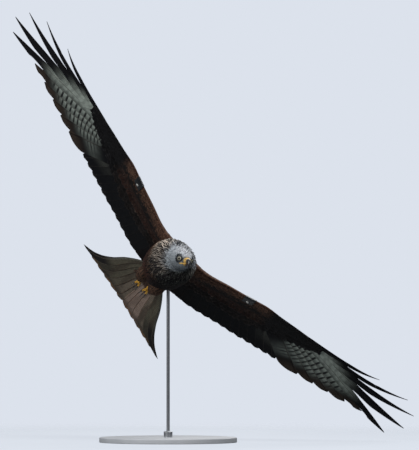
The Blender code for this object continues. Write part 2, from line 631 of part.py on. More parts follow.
def build_stand(trunk, steel, painted):
    bm = bmesh.new()
    bmesh.ops.create_cone(
        bm, cap_ends=True, segments=48, radius1=BASE_RADIUS, radius2=BASE_RADIUS, depth=BASE_HEIGHT,
        matrix=Matrix.Translation((0, 0, BASE_HEIGHT / 2)),
    )
    top_edges = [e for e in bm.edges if all(v.co.z > BASE_HEIGHT / 2 for v in e.verts)]
    bmesh.ops.bevel(bm, geom=top_edges, offset=BASE_EDGE, segments=2, affect="EDGES")
    finish("stand_base", bm, painted, smooth=False)
    top = rod_top(trunk)
    low = BASE_HEIGHT + GAP
    collar = low + COLLAR_HEIGHT
    profile = [(COLLAR_RADIUS, low), (COLLAR_RADIUS, collar - COLLAR_EDGE)]
    profile += [(COLLAR_RADIUS - COLLAR_EDGE, collar), (ROD_RADIUS, collar), (ROD_RADIUS, top)]
    turned("stand_rod", profile, steel)
    hole = ROD_RADIUS + GAP
    cut_by(trunk, as_cutter(turned("cut_socket", [(hole, 0.1), (hole, top + GAP)], steel)))


def turned(name, profile, surface, sides=24):
    """A solid of revolution about the Z axis, from pairs of radius and height."""
    angle = np.arange(sides) * 2 * math.pi / sides
    round_one = np.stack([np.cos(angle), np.sin(angle), np.zeros(sides)], axis=1)
    return tube(name, [radius * round_one + (0, 0, height) for radius, height in profile], surface)


def rod_top(trunk):
    """Height of the rod's end: SOCKET_DEPTH above the place where its axis enters the trunk."""
    found, place, _, _ = trunk.ray_cast(Vector((0, 0, 0)), Vector((0, 0, 1)))
    if not found:
        raise ValueError("the rod misses the trunk")
    return place.z + SOCKET_DEPTH


def main():
    for old in list(bpy.data.objects):
        bpy.data.objects.remove(old)
    plumage = material("body plumage", (0.16, 0.075, 0.04), 0.85)
    rust = material("rust plumage", (0.30, 0.12, 0.05), 0.85)
    pale = material("head plumage", (0.45, 0.45, 0.44), 0.85)
    coverts = material("wing coverts", (0.11, 0.055, 0.035), 0.85)
    flight = material("flight feathers", (0.05, 0.045, 0.045), 0.7)
    black = material("black feathers", (0.02, 0.02, 0.022), 0.6)
    tail_colour = material("tail feathers", (0.33, 0.20, 0.13), 0.75)
    horn = material("horn", (0.03, 0.03, 0.035), 0.35)
    wax = material("yellow skin", (0.75, 0.48, 0.08), 0.5)
    glass = material("eye", (0.60, 0.55, 0.35), 0.1)
    tag = material("tag", (0.015, 0.015, 0.018), 0.4)
    steel = material("steel rod", (0.55, 0.56, 0.58), 0.3, 1.0)
    painted = material("painted base", (0.55, 0.57, 0.60), 0.5)

    trunk, head = build_body(plumage, rust, pale)
    build_eyes(head, glass)
    build_bill(horn, wax)
    body = (TRUNK_F[0] - GAP, *TAIL_BASE_RINGS[1:], *TRUNK_RINGS, NECK_CUT_F + 0.03)
    body_cutter = as_cutter(trunk_part("cut_body", body, plumage, 2 * GAP))
    for name, side in SIDES.items():
        build_wing(name, side, body_cutter, (coverts, flight, black, tag))
        build_leg(name, side, body_cutter, (plumage, wax, horn))
    for side in SIDES.values():
        for k in range(TAIL_PAIRS):
            build_tail_feather(k, side, body_cutter, tail_colour)
    build_stand(trunk, steel, painted)


main()
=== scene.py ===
"""The looks of a life-size red kite in a banked glide: one skin, its feathers, bare parts, tags and stand."""

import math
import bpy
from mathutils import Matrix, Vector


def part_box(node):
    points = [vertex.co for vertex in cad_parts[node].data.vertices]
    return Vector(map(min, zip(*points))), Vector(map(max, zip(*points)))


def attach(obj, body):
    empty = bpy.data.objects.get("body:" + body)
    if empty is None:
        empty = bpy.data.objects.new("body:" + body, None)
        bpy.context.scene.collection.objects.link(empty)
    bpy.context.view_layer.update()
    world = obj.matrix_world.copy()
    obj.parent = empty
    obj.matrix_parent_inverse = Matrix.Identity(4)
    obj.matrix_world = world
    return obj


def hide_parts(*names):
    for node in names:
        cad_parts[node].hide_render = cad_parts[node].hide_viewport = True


bl_info = {
    "name": "Red Kite Model",
    "version": (1, 0, 0),
    "blender": (4, 5, 0),
    "location": "3D View > Sidebar > Kite",
    "description": "Builds the skin, feathers, face, feet, tags, stand and stage around the packed solids",
    "category": "Object",
}

import bpy
import numpy as np
from bpy.props import FloatProperty, FloatVectorProperty, PointerProperty
from bpy.types import Operator, Panel, PropertyGroup
from mathutils import Matrix, Vector

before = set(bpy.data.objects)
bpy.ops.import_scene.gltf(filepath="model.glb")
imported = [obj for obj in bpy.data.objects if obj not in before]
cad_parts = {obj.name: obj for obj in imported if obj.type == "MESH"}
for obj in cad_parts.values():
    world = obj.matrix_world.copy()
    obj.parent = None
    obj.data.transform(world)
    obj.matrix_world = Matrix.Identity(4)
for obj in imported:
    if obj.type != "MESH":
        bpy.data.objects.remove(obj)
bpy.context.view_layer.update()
SIDES = {"right": -1, "left": 1}

# The bird's own frame: f forward along the trunk, l to its left, u to its back, from between the shoulders
SHOULDERS = np.array([0.0413, -0.06, 0.5239])
NOSE_UP_TO_EYE = 26.0
ROLL_SIDE = 43.2

# Trunk, with two flat sections past its end that carry the tail coverts
AXIS_U = -0.034
BODY_YAW = 0.05
TRUNK_F = (-0.285, -0.25, -0.215, -0.19, -0.16, -0.125, -0.085, -0.045, -0.01, 0.018)
TRUNK_HALF = (0.046, 0.038, 0.033, 0.036, 0.043, 0.053, 0.062, 0.067, 0.066, 0.06)
TRUNK_BACK = (0.003, 0.006, 0.01, 0.014, 0.022, 0.033, 0.044, 0.053, 0.056, 0.053)
TRUNK_BELLY = (0.003, 0.006, 0.01, 0.015, 0.027, 0.048, 0.065, 0.073, 0.073, 0.066)
TRUNK_RISE = (0.0137, 0.012, 0.014, 0.01, 0.005, 0.002, 0.0, 0.0, 0.0, -0.002)
TRUNK_END_F = -0.215
NECK_F = 0.0123
NECK_WAY = 0.034

# Head: midway between the eyes, how it is turned, and its sections
HEAD_AT = (0.071, 0.018, -0.045)
HEAD_YAW = 17.0
HEAD_PITCH = 3.0
HEAD_ROLL = 12.6
HEAD_X = (-0.034, -0.02, -0.008, 0.004, 0.012, 0.0205)
HEAD_HALF = (0.03, 0.0275, 0.025, 0.0215, 0.0175, 0.012)
HEAD_CROWN = (0.0235, 0.0235, 0.022, 0.0185, 0.0145, 0.0085)
HEAD_CHIN = (0.032, 0.028, 0.0245, 0.0215, 0.019, 0.0155)
EYE_RADIUS = 0.0085
EYE_AT = (0.003, 0.015, 0.001)

# Eyes: the way they look, their iris and pupil in degrees, the lids' ring, and the hollow they lie in
EYE_FORWARD = 52.0
EYE_DOWN = 3.0
IRIS_ANGLE = 41.0
PUPIL_ANGLE = 20.5
LID_RADIUS = 0.0083
LID_HEIGHT = 0.0047
LID_BEAD = 0.0009
HOLLOW_HEIGHT = 0.0048
HOLLOW_SLOPE = 1.3
HOLLOW_FADE = 0.004
LORE_HALF = 0.0102
BROW_Z = 0.0095
BROW_RISE = 0.0022
BROW_HALF = 0.0022

# Bill: distance forward, half width, top and bottom of its sections, and how they lean
CERE = (
    (0.0195, 0.024, 0.029, 0.0325),
    (0.01, 0.0092, 0.008, 0.007),
    (0.0074, 0.008, 0.008, 0.0066),
    (-0.0085, -0.0084, -0.0081, -0.0078),
    (0.0, 0.0, 0.0, 0.0),
)
UPPER_BILL = (
    (0.03, 0.037, 0.042, 0.0465, 0.05, 0.052),
    (0.0068, 0.0062, 0.0052, 0.004, 0.0026, 0.0005),
    (0.0062, 0.0058, 0.0032, -0.001, -0.007, -0.0168),
    (-0.0082, -0.0083, -0.0086, -0.0104, -0.014, -0.0208),
    (0.0, 0.0, -0.05, -0.15, -0.25, -0.15),
)
LOWER_BILL = (
    (0.0195, 0.028, 0.036, 0.0415),
    (0.0078, 0.0068, 0.0052, 0.0024),
    (-0.009, -0.009, -0.0091, -0.0104),
    (-0.015, -0.015, -0.0146, -0.0126),
    (0.0, 0.0, 0.0, 0.0),
)
NOSTRIL_X = 0.0268
NOSTRIL_Z = 0.0022

# Corner of the mouth, from the bill back: x, y and z of the bead's middle, and how far it stands out
GAPE_PATH = (
    (0.0345, 0.005, -0.0087),
    (0.027, 0.0076, -0.009),
    (0.0205, 0.0094, -0.0098),
    (0.013, 0.0134, -0.0112),
    (0.0075, 0.0163, -0.012),
)
GAPE_HALF = 0.0017
GAPE_RISE = 0.0015
GAPE_CLEAR = 0.0022

# Wing plan, for l from the trunk outwards
ARM_DIHEDRAL = 14.0
HAND_DIHEDRAL = 9.5
WRIST_L = 0.272
BEND_WIDTH = 0.05
ROOT_L = 0.045
ROOT_U = 0.005
FINGER_RISE = 0.5
LEADING_L = (0.045, 0.06, 0.09, 0.15, 0.215, 0.272, 0.31, 0.38, 0.45, 0.53)
LEADING_F = (-0.01, -0.016, -0.02, -0.004, 0.012, 0.03, 0.029, 0.035, 0.038, 0.028)
TRAILING_L = (0.045, 0.075, 0.13, 0.18, 0.225, 0.262, 0.3, 0.335, 0.385, 0.45, 0.66)
TRAILING_F = (-0.242, -0.248, -0.258, -0.252, -0.244, -0.241, -0.232, -0.224, -0.21, -0.196, -0.15)
COVERT_L = (0.045, 0.15, 0.22, 0.272, 0.33, 0.4, 0.44, 0.47)
COVERT_F = (-0.13, -0.134, -0.126, -0.11, -0.08, -0.043, -0.014, 0.018)
COVERT_HELD_L = 0.455
HAND_END_L = 0.462
CAMBER = 0.04
NOSE_THICKNESS = 0.0008
ROOT_THICKNESS = 0.026
HAND_THICKNESS = 0.007
REAR_THICKNESS = 0.0045
REAR_THINNING = 0.0028
THICKEST_SHARE = 0.22
WHOLE_CHORD = 0.13

# Primaries, from the innermost: shaft root and tip in plan, and how far the tip rises, on each side
PRIMARY_ROOT_L = (0.285, 0.297, 0.309, 0.321, 0.334, 0.348, 0.362, 0.376, 0.388, 0.396)
PRIMARY_ROOT_F = (-0.006, -0.004, -0.001, 0.002, 0.006, 0.01, 0.015, 0.019, 0.024, 0.028)
PRIMARY_TIP_L = {
    -1: (0.462, 0.511, 0.557, 0.608, 0.664, 0.771, 0.795, 0.774, 0.722, 0.627),
    1: (0.462, 0.511, 0.557, 0.608, 0.66, 0.748, 0.775, 0.767, 0.722, 0.627),
}
PRIMARY_TIP_F = {
    -1: (-0.198, -0.182, -0.165, -0.148, -0.14, -0.178, -0.121, -0.03, 0.012, 0.03),
    1: (-0.198, -0.182, -0.165, -0.148, -0.143, -0.18, -0.113, -0.032, 0.012, 0.03),
}
PRIMARY_RISE = {
    -1: (0, 0, 0, 0, 0, 0, 0, 0.004, 0.023, 0.031),
    1: (0, 0, 0, 0, 0.003, -0.002, 0.008, 0.02, 0.035, 0.033),
}

# Their bow, the shares of the length where each edge narrows and the pale window ends, and the vanes' widths
BOW = (0, 0, 0, 0, 0.012, 0.03, 0.025, 0.012, 0.008, 0.01)
NOTCH_AHEAD = (1, 1, 1, 1, 0.8, 0.62, 0.55, 0.485, 0.42, 0.2)
NOTCH_BEHIND = (1, 1, 1, 1, 0.95, 0.74, 0.61, 0.57, 0.545, 0.57)
VANE_AHEAD = (0.014, 0.014, 0.014, 0.014, 0.014, 0.013, 0.012, 0.01, 0.008, 0.007)
VANE_BEHIND = (0.052, 0.036, 0.036, 0.038, 0.036, 0.033, 0.033, 0.022, 0.014, 0.01)
NOTCH_RUN = 0.05
TAPER_RUN = 0.36
WINDOW_END = (0.78, 0.81, 0.85, 0.86, 0.81, 0.68, 0.56, 0.47, 0.41, 0.1)

# Secondaries: how many, and how far out their roots and tips reach
SECONDARIES = 13
SECONDARY_END_L = 0.318
SECONDARY_TIP_L = 0.392

# Tail: a fan whose outer edge is given for distances back from its root
TAIL_ROOT_F = -0.19
TAIL_LENGTH = 0.3
TAIL_U = -0.026
TAIL_RISE = 0.018
TAIL_TWIST = 11.5
TAIL_YAW = -0.02
TAIL_BULGE = 0.007
TAIL_PAIRS = 6
TAIL_BACK = (0.0, 0.04, 0.092, 0.186, 0.24, 0.27, 0.3)
TAIL_EDGE = (0.052, 0.07, 0.0895, 0.1175, 0.141, 0.161, 0.193)

# Legs, folded back under the tail; each toe has its turn, droop and length
THIGH_SIDE = (0.03, 0.027, 0.024, 0.02)
FOOT_SIDE = 0.015
THIGH_F = (-0.062, -0.088, -0.114, -0.136)
THIGH_U = (-0.074, -0.086, -0.086, -0.077)
THIGH_RADII = (0.014, 0.02, 0.017, 0.009)
FOOT_F = -0.174
FOOT_U = -0.068
TARSUS_RADIUS = 0.0045
TOE_RADIUS = 0.0036
TOES = ((-14.0, 4.0, 0.027), (0.0, 2.0, 0.033), (16.0, 6.0, 0.025), (180.0, 62.0, 0.019))
TOE_BEND = 22.0
CLAW_LENGTH = 0.016
CLAW_BEND = 62.0
CLAW_RADIUS = 0.0021

# Tags and stand
TAG_L = 0.221
TAG_WIDTH = 0.03
TAG_BELOW = 0.026
TAG_ABOVE = 0.034
TAG_FOLD = 0.004
TAG_CORNER = 0.004
TAG_SKINS = (0.0018, 0.0028)
STUD_BACK = 0.017
STUD_RADII = (0.0044, 0.0044, 0.004, 0.0026, 0.0004)
STUD_DROPS = (-0.001, 0.0004, 0.001, 0.0014, 0.0015)
BASE_EDGE = 0.003
COLLAR_RADIUS = 0.012
COLLAR_HEIGHT = 0.016
ROD_RADIUS = 0.0045

# Camera: one pixel of the photograph's 419 by 450 frame is this wide on the bird
PIXEL = 0.00275
FRAME_W = 419
FRAME_H = 450
ROD_PX = 168.0
FLOOR_PX = 443.0
CAMERA_Y = -20.06
SENSOR_MM = 36.0
LIGHT_TARGET = (0, 0, 0.6)

# Depth of the coat over the skin
HEAD_COAT = 0.0006
NECK_COAT = 0.002
RUMP_COAT = 0.003
ARM_COAT = 0.0014
THIGH_COAT = 0.003

# Rows of small feathers: gaps between roots on the head, one row's step there, and marks of face and collar
HEAD_GAP = 0.0016
HEAD_GAP_GROWTH = 0.0019
HEAD_ROW_STEP = 0.0014
FACE_ROWS = 50
STRIPE_COLUMNS = 3.2
JAW_Z = -0.005
JAW_LOW_Z = -0.014

# Rows of coverts: share of the chord, then length, width and the gap between roots where the chord is whole
COVERT_ROWS = {
    "small": [
        (s, 0.01 + 0.019 * s, 0.0048 + 0.006 * s, 0.0036 - 0.0016 * (s < 0.03) + 0.0055 * s)
        for s in np.concatenate([np.linspace(0.0, 0.12, 7), np.linspace(0.15, 0.66, 15)])
    ],
    "great": [(0.7, 0.04, 0.016, 0.0115), (0.8, 0.048, 0.017, 0.0125), (0.88, 0.056, 0.018, 0.0135)],
}

# A small feather's own thickness and unevenness, and the width of its patch in the OFBake map
VANE_THICKNESS = 0.00012
HEIGHT_SPREAD = 0.00012
BAKE_PATCH = 0.003


def bird_axes():
    """The bird's forward, left and back directions in the row frame."""
    away, turn = math.radians(NOSE_UP_TO_EYE), math.radians(ROLL_SIDE)
    forward = np.array([math.sin(away) * math.cos(turn), -math.cos(away), math.sin(away) * math.sin(turn)])
    left = np.array([math.sin(turn), 0.0, -math.cos(turn)])
    return forward, left, np.cross(forward, left)


FORWARD, LEFT, BACK = bird_axes()


def placed(f, l, u):
    """Points of the bird's frame in the row frame: shoulders + f forward + l left + u back."""
    return SHOULDERS + np.stack(np.broadcast_arrays(f, l, u), axis=-1) @ np.stack([FORWARD, LEFT, BACK])


def head_axes():
    """The head's axes: x towards the bill, y to its left, z to the crown."""
    yaw, pitch, roll = (math.radians(a) for a in (HEAD_YAW, HEAD_PITCH, HEAD_ROLL))
    turn = Matrix.Rotation(roll, 3, "Y") @ Matrix.Rotation(yaw, 3, "Z") @ Matrix.Rotation(pitch, 3, "X")
    return np.array(turn @ Matrix(((0, 1, 0), (-1, 0, 0), (0, 0, 1)))).T


HEAD_AXES = head_axes()
HEAD_CENTRE = placed(*HEAD_AT)


def in_head(x, y, z):
    """Points of the head's frame in the row frame."""
    return HEAD_CENTRE + np.stack(np.broadcast_arrays(x, y, z), axis=-1) @ HEAD_AXES


def to_head(points):
    """Points of the row frame in the head's frame."""
    return (points - HEAD_CENTRE) @ HEAD_AXES.T


def smooth(low, high, x):
    """0 below low and 1 above high, with an eased step between them."""
    t = np.clip((x - low) / (high - low), 0, 1)
    return t * t * (3 - 2 * t)


def mix(a, b, share):
    """Colours from a to b by a share of any shape."""
    share = np.asarray(share)[..., None]
    return np.asarray(a) * (1 - share) + np.asarray(b) * share


def layered(base, *over):
    """A base colour with others laid over it in turn, each given with its share."""
    for colour, share in over:
        base = mix(base, colour, share)
    return base


def turns(count):
    """Angles of count even steps round a full circle, from 0."""
    return np.arange(count) * math.tau / count


def curve_through(x, xs, ys):
    """A smooth curve through the points (xs, ys), read at x: cubic steps with the slopes of the table."""
    xs, ys = np.asarray(xs, float), np.asarray(ys, float)
    slope = np.gradient(ys, xs)
    i = np.clip(np.searchsorted(xs, x) - 1, 0, len(xs) - 2)
    span = xs[i + 1] - xs[i]
    t = np.clip((x - xs[i]) / span, 0, 1)
    low = (2 * t**3 - 3 * t**2 + 1) * ys[i] + (t**3 - 2 * t**2 + t) * span * slope[i]
    return low + (3 * t**2 - 2 * t**3) * ys[i + 1] + (t**3 - t**2) * span * slope[i + 1]


class Surface:
    """A smooth surface held as a grid of points, read between them in straight steps.

    Rows run from bill to tail or from leading to trailing edge, and feathers point along them.
    at(row, column, height) is the grid's point there, moved by height along its normal.
    """

    def __init__(self, points, inside, closed):
        self.closed = closed
        if closed:
            points = np.concatenate([points[:, -1:], points, points[:, :2]], axis=1)
            inside = np.broadcast_to(inside, points.shape)
        along, across = np.gradient(points, axis=0), np.gradient(points, axis=1)
        normals = np.cross(along, across)
        normals *= np.sign(np.sum((points - inside) * normals))
        normals /= np.maximum(np.linalg.norm(normals, axis=-1, keepdims=True), 1e-12)
        steps = [np.linalg.norm(way, axis=-1)[..., None] for way in (along, across)]
        run = np.linalg.norm(np.diff(points, axis=0, prepend=points[:1]), axis=-1).cumsum(axis=0)[..., None]
        self.grid = np.concatenate([points, normals, *steps, run], axis=-1)
        self.rows, self.columns = points.shape[0], points.shape[1] - (3 if closed else 0)

    def read(self, row, column):
        """Point, normal, one step's length along and across, and the way gone, at fractional places."""
        row = np.clip(row, 0, self.rows - 1.001)
        column = 1 + column % self.columns if self.closed else np.clip(column, 0, self.columns - 1.001)
        i, j = np.floor(row).astype(int), np.floor(column).astype(int)
        a, b = (row - i)[..., None], (column - j)[..., None]
        near = self.grid[i, j] * (1 - b) + self.grid[i, j + 1] * b
        return near * (1 - a) + (self.grid[i + 1, j] * (1 - b) + self.grid[i + 1, j + 1] * b) * a

    def onward(self, row, column, distance):
        """The row that lies a distance further on: a first guess by the step there, put right three times."""
        found = self.read(row, column)
        target = found[..., 8] + distance
        row = row + distance / found[..., 6]
        for _ in range(3):
            found = self.read(row, column)
            row = np.clip(row + (target - found[..., 8]) / found[..., 6], 0, self.rows - 1)
        return row

    def at(self, row, column, height):
        found = self.read(row, column)
        return found[..., :3] + found[..., 3:6] * np.asarray(height)[..., None]


def trunk_point(f, angle):
    """The trunk's section at f: an ellipse whose upper and lower halves differ, twisted towards the tail."""
    half, back, belly, rise = (
        curve_through(f, TRUNK_F, v) for v in (TRUNK_HALF, TRUNK_BACK, TRUNK_BELLY, TRUNK_RISE)
    )
    twist = math.radians(TAIL_TWIST) * np.clip((-0.1 - f) / 0.09, 0, 1)
    side, up = half * np.cos(angle), np.where(np.sin(angle) > 0, back, belly) * np.sin(angle)
    l = side * np.cos(twist) + up * np.sin(twist) + BODY_YAW * f
    return placed(f, l, up * np.cos(twist) - side * np.sin(twist) + AXIS_U + rise)


def eye_frame(side):
    """Centre of an eyeball, the way it looks, and two directions square to that."""
    turn, down = math.radians(EYE_FORWARD), math.radians(EYE_DOWN)
    look = np.array([math.sin(turn), side * math.cos(turn) * math.cos(down), -math.sin(down)])
    look /= np.linalg.norm(look)
    up = np.array([0, 0, 1.0]) - look * look[2]
    up /= np.linalg.norm(up)
    return np.array([EYE_AT[0], side * EYE_AT[1], EYE_AT[2]]), look, up, np.cross(up, look)


def from_eye(local, side):
    """How far head points lie along the way an eye looks, and how far from that line."""
    centre, look = eye_frame(side)[:2]
    away = local - centre
    axial = away @ look
    return axial, np.linalg.norm(away - axial[..., None] * look, axis=-1)


def head_point(x, angle):
    """The head's section at x: an ellipse with its own crown and chin, drawn in to a hollow before each eye.

    Near an eye's line of sight the side comes in until it lies no further along that line than the hollow's
    height, which grows with the distance from the line; the sides stay as far apart as the bill's root. A
    brow stands out above.
    """
    half, crown, chin = (curve_through(x, HEAD_X, v) for v in (HEAD_HALF, HEAD_CROWN, HEAD_CHIN))
    height = np.where(np.sin(angle) > 0, crown, chin) * np.sin(angle)
    x, y, z = np.broadcast_arrays(x, half * np.cos(angle), height)
    axial, radial = from_eye(np.stack([x, np.abs(y), z], axis=-1), 1)
    over = axial - HOLLOW_HEIGHT - HOLLOW_SLOPE * np.clip(radial - LID_RADIUS, 0, None)
    over = np.clip(over, 0, None) * smooth(HEAD_X[-1], HEAD_X[-1] - HOLLOW_FADE, x)
    drawn = np.maximum(np.abs(y) - over / eye_frame(1)[1][1], np.minimum(np.abs(y), LORE_HALF))
    brow = smooth(-0.01, 0.002, x) * smooth(HEAD_X[-1], 0.012, x)
    brow = brow * np.exp(-(((z - BROW_Z) / BROW_HALF) ** 2))
    return in_head(x, np.sign(y) * (drawn + BROW_RISE * brow), z)


def neck_point(t, angle):
    """The neck from the trunk at 0 to the head at 1: cubic steps between two rings, leaving along each."""
    first, last = trunk_point(NECK_F, angle), head_point(HEAD_X[0], angle)
    t = t[..., None]
    start, end = (t**3 - 2 * t**2 + t) * FORWARD, (t**3 - t**2) * HEAD_AXES[0]
    return (2 * t**3 - 3 * t**2 + 1) * first + (3 * t**2 - 2 * t**3) * last + (start + end) * NECK_WAY


# Steps of the body's grid along its four stretches and round it
HEAD_ROWS = 40
NECK_ROWS = 36
TRUNK_ROWS = 150
TAIL_COVERT_ROWS = 48
ROUND = 160


def body_surface():
    """One surface from the bill's root over head, neck and trunk to the tail coverts."""
    angle = turns(ROUND)[None, :]
    x = np.linspace(HEAD_X[-1], HEAD_X[0], HEAD_ROWS)[:, None]
    t = np.broadcast_to(np.linspace(1, 0, NECK_ROWS + 1)[1:, None], (NECK_ROWS, ROUND))
    trunk = np.linspace(NECK_F, TRUNK_END_F, TRUNK_ROWS + 1)[1:, None]
    over_tail = np.linspace(TRUNK_END_F, TRUNK_F[0], TAIL_COVERT_ROWS + 1)[1:, None]
    rings = [head_point(x, angle), neck_point(t, angle)]
    rings += [trunk_point(f, angle) for f in (trunk, over_tail)]
    points = np.concatenate(rings)
    return Surface(points, points.mean(axis=1, keepdims=True), True)


BODY = body_surface()
NECK_ROW = HEAD_ROWS
TRUNK_ROW = HEAD_ROWS + NECK_ROWS
TAIL_COVERT_ROW = TRUNK_ROW + TRUNK_ROWS


def dihedral_height(l):
    """Height of the wing's plane: one slope along the arm, another along the hand, and rising fingers."""
    arm, hand = math.tan(math.radians(ARM_DIHEDRAL)), math.tan(math.radians(HAND_DIHEDRAL))
    bend = (hand - arm) * BEND_WIDTH * np.logaddexp(0, (l - WRIST_L) / BEND_WIDTH)
    return ROOT_U + arm * (l - ROOT_L) + bend + FINGER_RISE * np.clip(l - 0.55, 0, None) ** 2


def leading(l):
    return curve_through(l, LEADING_L, LEADING_F)


def trailing(l):
    return curve_through(l, TRAILING_L, TRAILING_F)


def covert_line(l):
    """Where the coverts end, in plan: the long feathers' vanes lie bare behind it."""
    return curve_through(l, COVERT_L, COVERT_F)


def held_chord(l):
    """Depth of the covered arm from its leading edge; near its outer end the covert line is held."""
    return leading(l) - covert_line(np.minimum(l, COVERT_HELD_L))


def covert_share(f, l):
    """Share of the way from the leading edge to the covert line, for points in plan."""
    return (leading(l) - f) / (leading(l) - covert_line(l))


def middle_height(f, l):
    """Height of the wing's middle surface over (f, l): the dihedral plus a camber along the chord."""
    share = np.clip((leading(l) - f) / (leading(l) - trailing(l)), 0, 1)
    fade = np.clip((0.6 - l) / 0.3, 0, 1)
    return dihedral_height(l) + CAMBER * fade * (leading(l) - trailing(l)) * 4 * share * (1 - share)


def arm_thickness(share, l):
    """Thickness of the covered arm: a rounded nose, then a fall to the covert line and on past it."""
    out = np.clip((l - ROOT_L) / (HAND_END_L - ROOT_L), 0, 1)
    most = ROOT_THICKNESS + (HAND_THICKNESS - ROOT_THICKNESS) * out**0.75
    rear = REAR_THICKNESS - REAR_THINNING * out
    nose = np.sin(np.clip(share / THICKEST_SHARE, 0, 1) * math.pi / 2) ** 0.8
    fall = smooth(0, 1, 1 - (share - THICKEST_SHARE) / (1 - THICKEST_SHARE))
    thick = np.where(share < THICKEST_SHARE, most * nose, rear + (most - rear) * fall)
    return np.maximum(NOSE_THICKNESS, thick)


# A wing face's grid: its ends along the span, its steps, and how far it runs behind and round the edge
ARM_START_L = 0.02
ARM_END_L = HAND_END_L + 0.03
ARM_ROWS = 120
ARM_COLUMNS = 220
SHARE_END = 1.75
NOSE_ROWS = 8
NOSE_SHARE = 0.03
ROW_POWER = 1.4


def wing_surface(side, face):
    """The upper or lower face of one wing: rows from its leading edge aft, columns from the trunk out.

    The first few rows lie on the other face, so that feathers can start round the nose.
    """
    nose = -np.linspace(1, 0, NOSE_ROWS, endpoint=False) ** ROW_POWER * NOSE_SHARE
    share = np.concatenate([nose, np.linspace(0, 1, ARM_ROWS) ** ROW_POWER * SHARE_END])[:, None]
    l = np.linspace(ARM_START_L, ARM_END_L, ARM_COLUMNS)[None, :]
    f = leading(l) - held_chord(l) * np.abs(share)
    half = arm_thickness(np.abs(share), l) / 2 * np.where(share < 0, -1, 1)
    points = placed(f, side * l, middle_height(f, l) + face * half)
    return Surface(points, placed(f - 0.004, side * l, middle_height(f, l)), False)


def share_row(share):
    """The row of a wing surface for a share of the way from its leading edge to the covert line."""
    return NOSE_ROWS + (np.asarray(share) / SHARE_END) ** (1 / ROW_POWER) * (ARM_ROWS - 1)


def row_share(row):
    return (np.clip(row - NOSE_ROWS, 0, None) / (ARM_ROWS - 1)) ** ROW_POWER * SHARE_END


def span_column(l):
    return (np.asarray(l) - ARM_START_L) / (ARM_END_L - ARM_START_L) * (ARM_COLUMNS - 1)


def column_span(column):
    return ARM_START_L + column / (ARM_COLUMNS - 1) * (ARM_END_L - ARM_START_L)


def linked(name, data):
    """A new object for a mesh, a lamp or a camera, in the scene."""
    made = bpy.data.objects.new(name, data)
    bpy.context.scene.collection.objects.link(made)
    return made


def made_object(name, mesh, material, slot):
    """An object for a finished mesh in one material, riding on the root body."""
    mesh.materials.append(MATERIALS[material])
    mesh.shade_smooth()
    made = linked(name, mesh)
    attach(made, "root")
    return made


def grid_faces(count, rows, columns):
    """Corner indices of closed tubes: count tubes of rows by columns points, with a cap at each end."""
    tube = (np.arange(count) * rows * columns)[:, None, None]
    row, column = np.arange(rows - 1)[None, :, None], np.arange(columns)[None, None, :]
    after = (column + 1) % columns
    corners = [tube + row * columns + column, tube + row * columns + after]
    corners += [corners[1] + columns, corners[0] + columns]
    quads = np.stack(corners, axis=-1).reshape(-1, 4)
    ends = [tube[:, 0] + np.arange(columns)[::-1], tube[:, 0] + (rows - 1) * columns + np.arange(columns)]
    return quads, np.concatenate(ends)


def outward(points, quads):
    """Whether faces of four corners point away from the points' middle, on the whole."""
    a, b, c, d = (points[quads[:, k]] for k in range(4))
    return np.sum(np.cross(c - a, d - b) * (a + b + c + d - 4 * points.mean(axis=0))) >= 0


def tube_mesh(name, points, uvs=None, colours=None, sharp=()):
    """A mesh of closed tubes from points[tube, row, column], with UV maps and colours for each point.

    Its edges along the columns named in sharp are creases.
    """
    count, rows, columns = points.shape[:3]
    quads, caps = grid_faces(count, rows, columns)
    flat = points.reshape(-1, 3)
    if not outward(flat, quads):
        quads, caps = quads[:, ::-1], caps[:, ::-1]
    loops = np.concatenate([quads.ravel(), caps.ravel()])
    totals = np.concatenate([np.full(len(quads), 4), np.full(len(caps), columns)])
    mesh = bpy.data.meshes.new(name)
    mesh.vertices.add(len(flat))
    mesh.vertices.foreach_set("co", flat.astype(np.float32).ravel())
    mesh.loops.add(len(loops))
    mesh.loops.foreach_set("vertex_index", loops.astype(np.int32))
    mesh.polygons.add(len(totals))
    mesh.polygons.foreach_set("loop_start", (np.cumsum(totals) - totals).astype(np.int32))
    mesh.update(calc_edges=True)
    ends = np.zeros(len(mesh.edges) * 2, np.int32)
    mesh.edges.foreach_get("vertices", ends)
    column = ends.reshape(-1, 2) % columns
    crease = (column[:, 0] == column[:, 1]) & np.isin(column[:, 0], sharp)
    mesh.attributes.new("sharp_edge", "BOOLEAN", "EDGE").data.foreach_set("value", crease)
    for title, uv in (uvs or {}).items():
        layer = mesh.uv_layers.new(name=title)
        layer.uv.foreach_set("vector", uv.reshape(-1, 2)[loops].astype(np.float32).ravel())
    for title, colour in (colours or {}).items():
        values = np.broadcast_to(colour, (*points.shape[:3], colour.shape[-1])).reshape(-1, colour.shape[-1])
        if values.shape[1] == 3:
            values = np.concatenate([values, np.ones((len(values), 1))], axis=1)
        layer = mesh.color_attributes.new(title, "FLOAT_COLOR", "POINT")
        layer.data.foreach_set("color", values.astype(np.float32).ravel())
    return mesh


def tube_piece(name, points, material, slot, colour=None):
    """One closed tube as a piece, in its material's own colour, or in one for all or each of its points."""
    colours = None if colour is None else {"web": np.broadcast_to(colour, points.shape)[None]}
    return made_object(name, tube_mesh(name, points[None], None, colours), material, slot)


def tube_about(path, radii, columns):
    """Rings of points about a path: circles of the given radii."""
    ways = np.gradient(path, axis=0)
    ways /= np.linalg.norm(ways, axis=1, keepdims=True)
    across = np.cross(ways, BACK)
    across /= np.linalg.norm(across, axis=1, keepdims=True)
    other = np.cross(ways, across)
    angle = turns(columns)[None, :, None]
    radii = np.asarray(radii)[:, None, None]
    return path[:, None] + radii * (np.cos(angle) * across[:, None] + np.sin(angle) * other[:, None])


